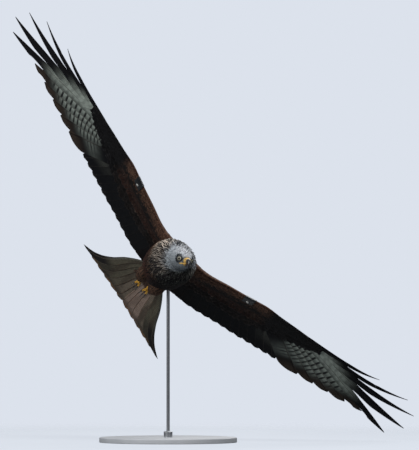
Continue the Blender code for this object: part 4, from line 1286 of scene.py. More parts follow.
def build_head_feathers(settings):
    """Very small feathers over the head, smallest at the bill, which part round the eyes and the mouth."""
    random = np.random.default_rng(11)
    row, column = rows_of_roots(BODY, *head_rows(), random)
    local = to_head(BODY.read(row, column)[:, :3])
    turn = random.normal(0, 0.1, len(row))
    jaw = smooth(JAW_Z, JAW_LOW_Z, local[:, 2]) * smooth(6, 26, row)
    size = settings.head_feather * (1 + 1.9 * smooth(2, NECK_ROW, row) + 0.7 * jaw)
    clear = from_gape(local) > GAPE_CLEAR
    for side in SIDES.values():
        turned, shrunk, stays = round_eye(local, side)
        turn += turned
        size *= shrunk
        clear &= stays
    row, column, turn, size = (values[clear] for values in (row, column, turn, size))
    sizes = (varied(random, len(row), size), varied(random, len(row), 0.42 * size), (-0.0006, 0.0011))
    tones = body_tones(row, column, random)
    look = ("head", "head_plumage")
    feather_piece("head_feathers", BODY, (row, column, turn), sizes, tones, look, random, 4, (0.4, 0.6))


def build_hackles(settings):
    """Long pointed feathers round the neck, black along the shaft and pale at the edges."""
    random = np.random.default_rng(12)
    rows = np.arange(NECK_ROW - 3, TRUNK_ROW + 22, 5.0)
    row, column = rows_of_roots(BODY, rows, 0.0046 + 0.0014 * smooth(NECK_ROW, TRUNK_ROW, rows), random)
    far = smooth(NECK_ROW - 3, TRUNK_ROW + 6, row)
    length = varied(random, len(row), settings.hackle * (0.42 + 0.58 * far), 0.2)
    width = varied(random, len(row), 0.0044 + 0.0038 * far)
    turn = random.normal(0, 0.1, len(row))
    tones = body_tones(row, column, random)
    sizes = (length, width, (-0.002, 0.002))
    look = ("hackle", "rust_plumage")
    feather_piece("neck_hackles", BODY, (row, column, turn), sizes, tones, look, random, 6, (0.45, 0.9))


def build_body_feathers(settings):
    """Contour feathers from breast and mantle to rump and vent, and long ones over the tail's root."""
    random = np.random.default_rng(13)
    row, column = rows_of_roots(BODY, np.arange(TRUNK_ROW + 4, TAIL_COVERT_ROW - 14, 4.4), 0.008, random)
    far = smooth(TRUNK_ROW, TAIL_COVERT_ROW, row)
    length = varied(random, len(row), settings.body_feather * (1 + 0.4 * far), 0.15)
    width = varied(random, len(row), 0.0105 + 0.004 * far)
    roots = (row, column, random.normal(0, 0.1, len(row)))
    sizes = (length, width, (-0.004, 0.001))
    tones, look = body_tones(row, column, random), ("body", "body_plumage")
    feather_piece("body_feathers", BODY, roots, sizes, tones, look, random, 6, (0.55, 0.55))

    rows = np.linspace(TAIL_COVERT_ROW - 22, TAIL_COVERT_ROW + 4, 5)
    row, column = rows_of_roots(BODY, rows, 0.0085, random)
    roots = (row, column, random.normal(0, 0.05, len(row)))
    sizes = (varied(random, len(row), 0.052), varied(random, len(row), 0.015), (-0.003, 0.0016))
    tones, look = body_tones(row, column, random), ("body", "rust_plumage")
    feather_piece("tail_coverts", BODY, roots, sizes, tones, look, random, 8, (0.5, 0.45))


def shoulder_surface(side):
    """From the back's middle out over the wing's root: the trunk's height, eased up to the wing's."""
    f, l = np.linspace(-0.012, -0.235, 90)[:, None], np.linspace(0.004, 0.08, 50)[None, :]
    half, back, rise = (curve_through(f, TRUNK_F, v) for v in (TRUNK_HALF, TRUNK_BACK, TRUNK_RISE))
    off = np.clip((side * l - BODY_YAW * f) / half, -0.99, 0.99)
    low = AXIS_U + rise + back * np.sqrt(1 - off**2)
    high = middle_height(f, l) + arm_thickness(np.clip(covert_share(f, l), 0.05, None), l) / 2
    u = low + (np.maximum(high, low) - low) * smooth(0.003, 0.03, l)
    return Surface(placed(f, side * l, u), placed(f, side * l, u - 0.01), False)


def spread_tones(random, count, tones):
    """The three colours for each of count feathers, each with its own lightness."""
    return [np.array(tone) * random.uniform(0.75, 1.25, (count, 1)) for tone in tones]


def build_scapulars(name, side):
    """Long feathers from the shoulder back, which close the step between the back and the wing."""
    random = np.random.default_rng(15)
    surface = shoulder_surface(side)
    row, column = rows_of_roots(surface, np.arange(2.0, 66, 3.2), 0.008, random, 3.0, 40.0)
    far = row / 66
    sizes = (varied(random, len(row), 0.026 + 0.026 * far), 0.0105 + 0.005 * far, (-0.002, 0.0026))
    tones = spread_tones(random, len(row), SCAPULAR_TONES)
    turn = random.normal(0.06, 0.08, len(row)) - 0.25 * smooth(20, 0, column) * far
    title, look = f"scapulars_{name}", ("body", "wing_coverts")
    feather_piece(title, surface, (row, column, turn), sizes, tones, look, random, 6, (0.5, 0.45))


def build_trousers(name, side):
    """Feathers that hang from the thighs towards the heels."""
    random = np.random.default_rng(14)
    rings = thigh_rings(side, 0.0, 60, 48)
    surface = Surface(rings, rings.mean(axis=1, keepdims=True), True)
    row, column = rows_of_roots(surface, np.linspace(4, 56, 16), 0.0055, random)
    length = varied(random, len(row), 0.027, 0.2)
    sizes = (length, 0.3 * length, (-0.002, 0.0014))
    # Their brown tones hold painted shade round the legs
    tones = spread_tones(random, len(row), SHADED_TROUSER_TONES)
    turn = random.normal(0, 0.12, len(row))
    look = ("body", "body_plumage")
    feather_piece(f"trousers_{name}", surface, (row, column, turn), sizes, tones, look, random)


def build_coverts(name, side, face):
    """The coverts of one face of one wing, row behind row, leaning outwards more towards the hand."""
    random = np.random.default_rng(20 + side + 5 * face)
    surface = wing_surface(side, face)
    label = "under" if face < 0 else "upper"
    low, high = span_column(0.028), span_column(HAND_END_L - 0.004)
    for part, table in COVERT_ROWS.items():
        roots, sizes = [], []
        for share, length, width, gap in table:
            first = 1.0 if share == 0 and face > 0 else share_row(share)
            roots.append(rows_of_roots(surface, [first], gap, random, low, high))
            sizes.append(np.tile([length, width], (len(roots[-1][0]), 1)))
        row, column = np.concatenate(roots, axis=1)
        length, width = np.concatenate(sizes).T
        row = np.clip(row, 0, None)
        share, l = row_share(row), column_span(column)
        shrink = np.clip(held_chord(l) / WHOLE_CHORD, 0.45, 1.1)
        lean = np.radians(6 + 44 * smooth(0.2, 0.42, l)) + random.normal(0, 0.06, len(row))
        rise = (-0.001 * smooth(0.0, 0.08, share), 0.001) if part == "small" else (-0.0006, 0.002)
        sizes = (varied(random, len(row), length * shrink, 0.1), width * np.sqrt(shrink), rise)
        tones, look = wing_tones(share, l, face, random), ("covert", "wing_coverts")
        title = f"wing_{name}_{label}_{part}_coverts"
        feather_piece(title, surface, (row, column, lean), sizes, tones, look, random, 6, (0.45, 0.42))


def shaft_run(i, side):
    """Root of a shaft, its run to the tip, and the forward direction square to it."""
    root = np.array([PRIMARY_ROOT_F[i], PRIMARY_ROOT_L[i]])
    run = np.array([PRIMARY_TIP_F[side][i], PRIMARY_TIP_L[side][i]]) - root
    return root, run, np.array([run[1], -run[0]]) / np.hypot(*run)


def shaft(i, side, t):
    """Points along a primary's shaft, in plan: a bowed line from root to tip."""
    root, run, ahead = shaft_run(i, side)
    return root + run * t + ahead * BOW[i] * 4 * t * (1 - t)


def border_with(j, i, side, t):
    """The line half way between feather i, read at its own shares t, and its neighbour j."""
    lengths = [np.hypot(*shaft_run(n, side)[1]) for n in (i, j)]
    return (shaft(i, side, t) + shaft(j, side, np.minimum(t * lengths[0] / lengths[1], 1))) / 2


def primary_edge(i, side, t, way, overlap):
    """Distance of one edge of a primary from its shaft, on the side of the next outer or inner feather.

    The edge passes the border with its neighbour by a share of the room there, which fades out before the
    notch. Past it the edge stands at the vane's own width, tapering to the tip. The inner four have no notch,
    and round tips.
    """
    outer = way > 0
    vane, notch = (VANE_AHEAD[i], NOTCH_AHEAD[i]) if outer else (VANE_BEHIND[i], NOTCH_BEHIND[i])
    room = np.full_like(t, vane)
    if 0 <= i + way <= 9:
        room = np.linalg.norm(border_with(i + way, i, side, t) - shaft(i, side, t), axis=1, keepdims=True)
    room = np.minimum(room, vane * 1.15)
    if i < 4:
        round_tip = np.sqrt(1 - 0.998 * np.clip((t - 0.78) / 0.22, 0, 1) ** 2.4)
        return np.minimum(room * (1 + overlap), vane) * round_tip
    past = np.clip((t - notch) / NOTCH_RUN, 0, 1)
    free = np.minimum(vane * np.clip((1 - t) / TAPER_RUN, 0.015, 1) ** 0.75, room)
    return room * (1 + overlap * (1 - smooth(notch - 0.16, notch, t))) * (1 - past) + free * past


def primary_plan(i, side, t):
    """Leading edge, shaft and trailing edge of a primary, in plan, drawn in towards its root."""
    along, ahead = shaft(i, side, t), shaft_run(i, side)[2]
    first, last = (
        along + way * ahead * primary_edge(i, side, t, way, overlap) * smooth(-0.25, 0.12, t)
        for way, overlap in ((1, 0.1), (-1, 0.75))
    )
    return first, along, last


def secondary_plan(k, t):
    """Leading (outer) edge, shaft and inner edge of a secondary, in plan, with a rounded tip."""
    share = (k + 0.62) / SECONDARIES
    root_l = 0.048 + (SECONDARY_END_L - 0.048) * share
    tip_l = 0.05 + (SECONDARY_TIP_L - 0.05) * share
    root = np.array([covert_line(root_l) + 0.045, root_l - 0.01])
    tip = np.array([trailing(tip_l) - 0.0005, tip_l])
    along = root + (tip - root) * t
    gap = 0.0208 + 0.006 * t
    round_tip = np.sqrt(np.clip(1 - ((t - 0.9) / 0.1).clip(0, 1) ** 2, 0.0008, 1))
    out = np.array([0.0, 1.0])
    return along + out * gap * 0.52 * round_tip, along, along - out * gap * 1.15 * round_tip


# A long vane's grid: its steps along, and its places across, over the top of a section and back below
FLIGHT_ROWS = 40
ACROSS = np.array([-1.0, -0.7, -0.35, -0.07, 0.0, 0.07, 0.35, 0.7, 1.0])
LONG_ACROSS = np.concatenate([ACROSS, ACROSS[::-1] * 0.98])
ON_TOP = np.arange(len(LONG_ACROSS)) < len(ACROSS)
RIMS = (0, len(ACROSS) - 1, len(ACROSS), len(LONG_ACROSS) - 1)


def long_feathers(plans, rises, place, thickness=0.0009):
    """Closed vanes from plans[feather] = (first edge, shaft, last edge), each rows by 2.

    A section runs along the top from the last edge to the first and back along the bottom. The vane tilts up
    towards its first edge, to lie over the next feather, and is thickest along the shaft, where the quill
    stands out below.
    """
    first, shafts, last = (np.stack([plan[n] for plan in plans])[:, :, None, :] for n in range(3))
    x = LONG_ACROSS
    flat = shafts + np.where(x[:, None] > 0, first - shafts, last - shafts) * np.abs(x)[:, None]
    t = np.linspace(0, 1, first.shape[1])[None, :, None]
    tilt = x * 0.0016 * np.clip((1.02 - t) * 3, 0.25, 1) + rises
    half = thickness / 2 * (1.25 - 0.6 * t) * (1 - 0.75 * x**2)
    quill = np.exp(-((x / 0.06) ** 2)) * 0.0011 * (1.05 - t)
    height = tilt + np.where(ON_TOP, half + 0.3 * quill, -half - quill)
    return place(flat[..., 0], flat[..., 1], height)


def long_grid(count):
    """Rank, share of the length and place across of each point of count long feathers, ready to broadcast."""
    share = np.linspace(0, 1, FLIGHT_ROWS)
    return np.arange(count)[:, None, None], share[None, :, None], LONG_ACROSS[None, None, :]


def long_maps(count):
    """Vane map, and an OFBake map with a strip for each feather, its two faces side by side."""
    rank, t, across = long_grid(count)
    vane = np.stack(np.broadcast_arrays((across + 1) / 2, t), axis=-1)
    column = np.arange(len(LONG_ACROSS)) / len(LONG_ACROSS)
    strip = (rank + 0.04 + 0.9 * column) / count
    bake = np.stack(np.broadcast_arrays(strip, 0.02 + 0.96 * t), axis=-1)
    return {"Vane": np.broadcast_to(vane, (count, *vane.shape[1:])), "OFBake": bake}


def on_faces(upper, lower):
    """Values for each point of long feathers: the upper ones over the top of a section, the lower below."""
    return np.where(ON_TOP[:, None], upper, lower)


def long_piece(name, points, below, above, bars, quills, edge, look):
    """Long feathers as one piece: below and above are web colours, bars how strong the cross bars are there.

    Quills are the shafts' colours above and below, edge the fringe's lightness against the web, and look the
    material and the slot, which is not used.
    """
    count = len(points)
    shape = (count, FLIGHT_ROWS, len(LONG_ACROSS))
    web = on_faces(np.broadcast_to(above, (*shape, 3)), np.broadcast_to(below, (*shape, 3)))
    bars = np.broadcast_to(bars, shape)[..., None] * np.where(ON_TOP[:, None], 0.6, 1.0)
    colours = {
        "web": np.concatenate([web, bars], axis=-1),
        "fringe": web * edge,
        "quill": np.broadcast_to(on_faces(*quills), (*shape, 3)),
    }
    return made_object(name, tube_mesh(name, points, long_maps(count), colours, RIMS), *look)


def over_wing(side):
    """A function that sets plan points at a height over one wing's middle surface."""
    return lambda f, l, height: placed(f, side * l, middle_height(f, l) + height)


def build_primaries(name, side, settings):
    """Ten primaries of one wing: black, with a pale barred window below up to the notches.

    The window starts further out in the inner feathers, is darker there and towards each leading edge, and
    the inner five have brown ends.
    """
    rank, share, x = long_grid(10)
    fingers = np.array(PRIMARY_RISE[side])[:, None, None] * share**3
    points = long_feathers([primary_plan(i, side, share[0]) for i in range(10)], fingers, over_wing(side))
    end = np.array(WINDOW_END)[:, None, None]
    inner = np.clip(1 - rank / 2.5, 0, 1)
    window = smooth(0.04 + 0.4 * inner, 0.16 + 0.55 * inner, share)
    window = window * (1 - smooth(end - 0.16, end + 0.03, share))
    window = window * (1 - (0.35 + 0.13 * np.maximum(rank - 5, 0)) * smooth(0.0, 0.4, x))
    window = window * (0.46 + 0.54 * smooth(-0.8, 3.0, rank))
    window = window * (1 - 0.6 * smooth(-0.08, -0.85, x) * (rank < 6))
    brown = smooth(0.72, 0.95, share) * (rank < 5) * 0.8
    below = layered(PRIMARY_BELOW, (settings.window, window), (PRIMARY_END, brown))
    above = mix(PRIMARY_ABOVE, WINDOW_ABOVE, window)
    bars = smooth(0.1, 0.4, window) * np.where(rank < 5, 0.95, 0.25) * smooth(0.25, -0.2, x)
    quills = (QUILL_ABOVE, mix(QUILL_BELOW, QUILL_WINDOW, np.sqrt(window)))
    title, look = f"wing_{name}_primaries", ("flight", "flight_feathers")
    made = long_piece(title, points, below, above, bars, quills, 0.85, look)
    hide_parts(f"wing_{name}_primaries_1_4", *(f"wing_{name}_primary_{i:02d}" for i in range(5, 11)))


def build_secondaries(name, side):
    """Secondaries of one wing: blackish with faint bars and thin rust ends, the outer ones paler below."""
    rank, share, _ = long_grid(SECONDARIES)
    points = long_feathers([secondary_plan(k, share[0]) for k in range(SECONDARIES)], 0.0, over_wing(side))
    outer = smooth(SECONDARIES - 3.0, SECONDARIES - 0.6, rank)
    pale = outer * smooth(0.15, 0.45, share) * (1 - smooth(0.55, 0.85, share))
    rust = smooth(0.965, 1.0, share) * 0.8
    below = layered(SECONDARY_BELOW, (SECONDARY_PALE, pale), (SECONDARY_END, rust))
    above = mix(SECONDARY_ABOVE, SECONDARY_END_ABOVE, smooth(0.955, 1.0, share))
    quills = ((0.03, 0.026, 0.024), (0.03, 0.028, 0.026))
    title, look = f"wing_{name}_secondary_vanes", ("flight", "flight_feathers")
    made = long_piece(title, points, below, above, 0.35, quills, 1.5, look)
    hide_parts(f"wing_{name}_secondaries")


def in_tail(back, across, up):
    """Points of the tail's own plane: back from its root, across to the bird's left, and up."""
    twist = math.radians(TAIL_TWIST)
    across = across - TAIL_YAW * back
    l = across * math.cos(twist) + up * math.sin(twist)
    u = up * math.cos(twist) - across * math.sin(twist)
    f = TAIL_ROOT_F - back
    return placed(f, l + BODY_YAW * f, u + TAIL_U + TAIL_RISE * back / TAIL_LENGTH)


def tail_plan(k, t):
    """Outer edge, shaft and inner edge of the k-th tail feather from the middle, as (back, across).

    Each runs at a share of the fan's outer edge. The tip is rounded by drawing the two edges in and back;
    the outermost feather keeps a broad tip with its inner corner drawn out.
    """
    last = k == TAIL_PAIRS - 1
    middle = (k + 0.6) / TAIL_PAIRS
    edges = []
    places = ((k + 1.0, 0.0 if last else 0.004), (k + 0.6, 0.0), (max(k - 0.3, -0.1), 0.008))
    for place, rounding in places:
        share = place / TAIL_PAIRS
        whole = TAIL_LENGTH + TAIL_BULGE * (1 - np.clip(share, 0, 1) ** 2)
        back = t * whole - rounding * t**14
        if last:
            spread = share + (1 - share) * smooth(0.86, 1.0, t) * 0.1
        else:
            spread = share + (middle - share) * np.clip((t - 0.93) / 0.07, 0, 1) ** 2 * 0.35
        edges.append(np.concatenate([back, curve_through(back, TAIL_BACK, TAIL_EDGE) * spread], axis=1))
    return tuple(edges)


def build_tail(name, side, settings):
    """Six feathers of one side of the fan, rust above and grey brown below, with ends that glow rust below: a
    painted glow of light through them.

    Below, the middle feathers are paler and patched with brown, and the outer one has a dark corner and edge
    with a pale line beside it. Cross bars run over all of them.
    """
    rank, share, x = long_grid(TAIL_PAIRS)
    lift = 0.001 * (TAIL_PAIRS / 2 - rank)
    plans = [tail_plan(k, share[0]) for k in range(TAIL_PAIRS)]
    points = long_feathers(plans, lift, lambda back, across, up: in_tail(back, side * across, up), 0.001)
    outer = smooth(0.55, 0.95, x) * (rank == 5)
    line = smooth(0.15, 0.35, x) * smooth(0.6, 0.5, x) * (rank == 5)
    corner = smooth(2.8, 5, rank) * smooth(0.58, 0.8, share)
    tip = smooth(0.935, 0.975, share) * (1 - smooth(3.6, 4.8, rank))
    pale = (1 - smooth(0.8, 2.6, rank)) * 0.3 if side < 0 else 1 - smooth(1.6, 3.8, rank)
    patch = smooth(0.1, 0.6, np.sin(3.1 * rank + 7.0 * share + 1.7 * x + side))
    below = layered(
        TAIL_GREY,
        (TAIL_PALE, pale),
        (TAIL_PATCH, patch * (0.3 + 0.25 * smooth(0.8, 2.6, rank))),
        (TAIL_LINE, line),
        (TAIL_CORNER, np.maximum(corner, smooth(0.84, 0.93, share) * 0.55)),
        (VANE_BLACK, outer),
        # Painted glow of light through the rust ends, seen from below
        (TAIL_TIP_GLOW, tip * (0.55 + 0.45 * np.sin(2.3 * rank + side + 3.0 * x))),
    )
    above = layered(
        settings.tail,
        (np.array(settings.tail) * 0.85, smooth(1.5, 4.5, rank)),
        (TAIL_CORNER_ABOVE, np.maximum(corner, outer)),
        (TAIL_TIP_ABOVE, tip),
    )
    quills = ((0.1, 0.05, 0.03), (0.12, 0.1, 0.078))
    look = ("tail", "tail_feathers")
    made = long_piece(f"tail_{name}_vanes", points, below, above, 0.4, quills, 1.15, look)
    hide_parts(*(f"tail_{name}_feather_{k + 1}" for k in range(TAIL_PAIRS)))


def bill_rings(table, rows, columns):
    """Sections of the bill: ovals with their own half width, top and bottom, leaning forward at the top."""
    x = np.linspace(table[0][0], table[0][-1], rows)
    half, top, low, lean = (curve_through(x, table[0], v)[:, None] for v in table[1:])
    angle = turns(columns)[None, :]
    side, up = (np.sign(v) * np.abs(v) ** 0.9 for v in (np.cos(angle), np.sin(angle)))
    up = up * (top - low) / 2
    return x[:, None] + lean * up, half * side, (top + low) / 2 + up


def build_bill(settings):
    """Hooked upper bill, lower bill, and the cere with its nostrils sunk into it."""
    for part, table, rows, columns, base, tip, look in (
        ("upper", UPPER_BILL, 60, 40, HORN_BLUE, HORN_TIP, ("horn", "bill_horn")),
        ("lower", LOWER_BILL, 40, 32, BILL_YELLOW, BILL_END, ("wax", "yellow_skin")),
    ):
        x, y, z = bill_rings(table, rows, columns)
        colour = mix(base, tip, smooth(*BILL_DARK[part], x))
        made = tube_piece(f"bill_{part}_horn", in_head(x, y, z), *look, colour)
        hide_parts(f"bill_{part}")
    x, y, z = bill_rings(CERE, 48, 64)
    away = np.sqrt(((x - NOSTRIL_X) / 0.0019) ** 2 + ((z - NOSTRIL_Z) / 0.0013) ** 2)
    pit = np.exp(-(away**3)) * (np.abs(y) > 0.004)
    swell = 1 + 0.07 * np.sin(np.clip((x - CERE[0][0]) / (CERE[0][-1] - CERE[0][0]), 0, 1) * math.pi)
    points = in_head(x, y * swell - np.sign(y) * 0.0022 * pit, z * swell)
    colour = mix(settings.cere, (0.015, 0.01, 0.008), np.clip(pit * 1.6, 0, 1))
    made = tube_piece("cere_skin", points, "wax", "yellow_skin", colour)
    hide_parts("cere")


def build_gape(settings):
    """The yellow corner of the mouth on each side: a low oval bead that narrows towards its rear end."""
    t = np.linspace(0, 4, 40)[:, None]
    angle = turns(20)[None, :]
    x, y, z = gape_line(t)
    size = np.clip(1.02 - np.abs(t / 2 - 1) ** 2.5, 0, 1) ** 0.6
    y, z = y + GAPE_RISE * size * np.cos(angle), z + GAPE_HALF * size * np.sin(angle)
    for name, side in SIDES.items():
        points = in_head(x, side * y, z)
        tube_piece(f"gape_{name}", points, "wax", "yellow_skin", np.array(settings.cere))


def on_eye(side, angle, around, radius):
    """Points at an angle from the way the eye looks, a turn round it, and a radius from its centre."""
    centre, look, up, across = eye_frame(side)
    angle, around, radius = (v[..., None] for v in np.broadcast_arrays(angle, around, radius))
    ring = np.cos(around) * across + np.sin(around) * up
    point = centre + radius * (np.cos(angle) * look + np.sin(angle) * ring)
    return in_head(*np.moveaxis(point, -1, 0))


def eye_colours(iris, degrees, around):
    """Colours by the angle from the way the eye looks: black pupil, rayed iris, brown rim, black edge."""
    rays = 0.5 + 0.5 * np.sin(around * 23 + 2 * np.sin(around * 5))
    rim = smooth(IRIS_ANGLE - 5, IRIS_ANGLE + 1, degrees)
    colour = layered(iris * 0.8, (iris * 1.2, rays), (IRIS_RIM, rim))
    colour = mix(PUPIL, colour, smooth(PUPIL_ANGLE - 1.5, PUPIL_ANGLE + 1, degrees))
    return mix(colour, EYE_EDGE, smooth(IRIS_ANGLE - 1, IRIS_ANGLE + 2, degrees))


def lid_sections(side, around):
    """Sections of the lids: a bead from the eyeball out to the hollow's rim, and a skirt sunk behind it."""
    turn = np.radians(np.linspace(-35, 215, 16))[:, None]
    inner = math.radians(42) + np.radians(2 * np.cos(around) ** 2 - 6 * np.sin(around))
    start = EYE_RADIUS * np.stack([np.cos(inner), np.sin(inner)])
    end = np.array([LID_HEIGHT, LID_RADIUS])[:, None, None]
    rise = LID_BEAD * np.sin(turn) * np.array([1.0, 0.3])[:, None, None]
    bead = (start + end) / 2 + (start - end) / 2 * np.cos(turn) + rise
    skirt = np.array([[0.001, -0.001], [LID_RADIUS, 0.006]])[:, :, None] + 0 * around
    axial, radial = np.concatenate([bead, skirt], axis=1)
    return on_eye(side, np.arctan2(radial, axial), around, np.hypot(axial, radial)).transpose(1, 0, 2)


def ring_piece(name, sections, material, slot):
    """A closed ring: sections[around, point], joined round and from the last section to the first."""
    around, columns = sections.shape[:2]
    i, j = np.meshgrid(np.arange(around), np.arange(columns), indexing="ij")
    after, beside = (i + 1) % around, (j + 1) % columns
    corners = [i * columns + j, after * columns + j, after * columns + beside, i * columns + beside]
    quads, flat = np.stack(corners, -1).reshape(-1, 4), sections.reshape(-1, 3)
    if not outward(flat, quads):
        quads = quads[:, ::-1]
    mesh = bpy.data.meshes.new(name)
    mesh.from_pydata(flat.tolist(), [], quads.tolist())
    return made_object(name, mesh, material, slot)


def build_eyes(settings):
    """Eyeballs that bulge a little over the iris, and dark lids round them."""
    around = turns(64)[None, :]
    degrees = np.concatenate([[0.4], np.linspace(2, 175, 90)])[:, None]
    radius = EYE_RADIUS - 0.0001 + 0.0004 * (1 - smooth(20, 48, degrees))
    colour = eye_colours(np.array(settings.iris), degrees, around)
    for name, side in SIDES.items():
        points = on_eye(side, np.radians(degrees), around, radius)
        eyeball = tube_piece(f"eyeball_{name}", points, "eye", "eye_surface", colour)
        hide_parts(f"eye_{name}")
        ring_piece(f"eyelid_{name}", lid_sections(side, around), "lid", "claw_horn")


def build_claws():
    """Four curved, tapering claws on each foot."""
    radii = CLAW_RADIUS * (1 - np.linspace(0, 1, 26)) ** 0.8 + 0.00012
    for name, side in SIDES.items():
        for n, (turn, droop, length) in enumerate(TOES):
            toe = toe_path(foot_ball(side), turn, droop, TOE_BEND, length, side, 48)
            way = toe[-1] - toe[-2]
            start = toe[-1] - way / np.linalg.norm(way) * 0.0008
            path = toe_path(start, turn, droop + TOE_BEND, CLAW_BEND, CLAW_LENGTH + 0.0012, side, 26)
            rings = tube_about(placed(*path.T), radii, 14)
            claw = tube_piece(f"claw_{name}_{n + 1}", rings, "claw", "claw_horn")
            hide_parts(f"leg_{name}_claw_{n + 1}")


def tag_sheet(side):
    """Points of a tag: two skins folded over the leading edge, a little apart, with rounded corners."""
    s = np.linspace(-TAG_BELOW, TAG_ABOVE, 60)[:, None]
    end = np.minimum(s + TAG_BELOW, TAG_ABOVE - s)
    corner = np.sqrt(np.clip(1 - (1 - np.clip(end / TAG_CORNER, 0, 1)) ** 2, 0.0, 1))
    l = TAG_L + np.linspace(-0.5, 0.5, 13)[None, :] * (TAG_WIDTH - 2 * TAG_CORNER * (1 - corner))
    behind = np.broadcast_to(np.abs(s), l.shape)
    f = leading(l) - np.where(behind > TAG_FOLD, behind, behind**2 / TAG_FOLD)
    face = np.clip(s / TAG_FOLD, -1, 1)
    half = arm_thickness(np.clip(covert_share(f, l), 0, 1), l) / 2
    inner, outer = (
        placed(f + away * (1 - np.abs(face)), side * l, middle_height(f, l) + face * (half + away))
        for away in TAG_SKINS
    )
    return np.concatenate([outer, inner[:, ::-1]], axis=1)


def tag_stud(side):
    """Points of the stud's round head under a tag."""
    f = leading(TAG_L) - STUD_BACK
    share = STUD_BACK / (leading(TAG_L) - covert_line(TAG_L))
    low = middle_height(f, TAG_L) - arm_thickness(share, TAG_L) / 2 - TAG_SKINS[1]
    angle = turns(24)[None, :]
    radius, drop = (np.array(v)[:, None] for v in (STUD_RADII, STUD_DROPS))
    return placed(f + radius * np.cos(angle), side * (TAG_L + radius * np.sin(angle)), low - drop)


def build_tags():
    """A black sheet over each leading edge, with a pale stud through it below."""
    for name, side in SIDES.items():
        sheet = tube_piece(f"tag_{name}_sheet", tag_sheet(side), "tag", "tag_plastic")
        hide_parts(f"wing_tag_{name}")
        tube_piece(f"tag_{name}_stud", tag_stud(side), "stud", "tag_plastic")


def turned(profile, columns):
    """A solid of revolution about the Z axis, from pairs of radius and height."""
    angle = turns(columns)[None, :]
    radius, height = (np.array(v)[:, None] for v in zip(*profile))
    return np.stack(np.broadcast_arrays(radius * np.cos(angle), radius * np.sin(angle), height), axis=-1)


def rounded(radius, height, edge, count=6):
    """Profile points round a quarter circle at the top outer corner (radius, height)."""
    turn = np.linspace(0, math.pi / 2, count)
    return list(zip(radius - edge + edge * np.cos(turn), height - edge + edge * np.sin(turn)))


def build_stand():
    """The round base and the rod with its collar, turned to the CAD solids' sizes."""
    low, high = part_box("stand_base")
    radius, thick = high.x, high.z
    profile = [(radius - 0.001, 0.0), (radius, 0.001), *rounded(radius, thick, BASE_EDGE), (0.002, thick)]
    base = tube_piece("stand_base_disc", turned(profile, 160), "paint", "base_paint")
    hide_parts("stand_base")
    low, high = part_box("stand_rod")
    top = low.z + COLLAR_HEIGHT
    profile = [(COLLAR_RADIUS, low.z), *rounded(COLLAR_RADIUS, top, 0.002)]
    profile += [(ROD_RADIUS, top), (ROD_RADIUS, high.z)]
    rod = tube_piece("stand_rod_turned", turned(profile, 48), "steel", "rod_steel")
    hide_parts("stand_rod")
    for made in (base, rod):
        made.data.set_sharp_from_angle(angle=math.radians(35))


def area_light(name, place, size, power):
    """A square soft light at a place, turned towards the bird."""
    lamp = bpy.data.lights.new(name, "AREA")
    lamp.size, lamp.energy = size, power
    made = linked(name, lamp)
    made.location = place
    made.rotation_euler = (Vector(LIGHT_TARGET) - Vector(place)).to_track_quat("-Z", "Y").to_euler()


def make_camera():
    """A level camera whose frame at the bird's distance is as tall as the photograph's."""
    lens = bpy.data.cameras.new("camera")
    lens.sensor_width, lens.clip_end = SENSOR_MM, 60.0
    lens.lens = SENSOR_MM * (SHOULDERS[1] - CAMERA_Y) / (FRAME_H * PIXEL)
    camera = linked("camera", lens)
    camera.location = ((FRAME_W / 2 - ROD_PX) * PIXEL, CAMERA_Y, (FLOOR_PX - FRAME_H / 2) * PIXEL)
    camera.rotation_euler = (math.pi / 2, 0, 0)
    bpy.context.scene.camera = camera


def make_world(settings):
    """A pale world that the camera sees at full strength and that lights the bird softly."""
    world = bpy.data.worlds.new("pale studio")
    world.use_nodes = True
    tree = world.node_tree
    seen = node(tree, "ShaderNodeLightPath").outputs["Is Camera Ray"]
    strength = math_node(tree, "MULTIPLY_ADD", seen, 1.0 - settings.sky_light, settings.sky_light)
    background = tree.nodes["Background"]
    background.inputs["Color"].default_value = (*settings.sky, 1.0)
    tree.links.new(strength, background.inputs["Strength"])
    bpy.context.scene.world = world
    bpy.context.scene.view_settings.view_transform = "Standard"


def make_floor(settings):
    """A thin pale disc that fades out towards its edge."""
    radius = np.linspace(0, settings.floor_radius, 30)[1:]
    points = turned([(r, 0.0) for r in radius] + [(r, -0.002) for r in radius[::-1]], 96)
    mesh = tube_mesh("floor", points[None])
    surface, tree, shader = new_material("pale floor", 0.9, specular_ior_level=0.0)
    seen = node(tree, "ShaderNodeLightPath").outputs["Is Camera Ray"]
    tree.links.new(math_node(tree, "MULTIPLY", seen, 0.8), shader.inputs["Emission Strength"])
    shader.inputs["Base Color"].default_value = (0.16, 0.17, 0.18, 1.0)
    shader.inputs["Emission Color"].default_value = (*settings.sky, 1.0)
    where = node(tree, "ShaderNodeTexCoord").outputs["Object"]
    away = node(tree, "ShaderNodeVectorMath", {0: where}, operation="LENGTH").outputs["Value"]
    fade = step_node(tree, away, settings.floor_radius * 0.35, settings.floor_radius * 0.98)
    tree.links.new(rest_of(tree, fade), shader.inputs["Alpha"])
    mesh.materials.append(surface)
    linked("floor", mesh)


def build_stage(settings):
    """Camera at the photograph's angle, a pale floor that fades into the pale world, and soft lights."""
    make_camera()
    make_world(settings)
    make_floor(settings)
    area_light("key light", (-2.6, -2.4, 2.3), 1.4, settings.key_power)
    area_light("top light", (0.9, -1.7, 3.0), 1.4, settings.key_power * 0.8)
    area_light("back light", (0.8, 2.6, 2.2), 1.8, settings.key_power * 0.5)


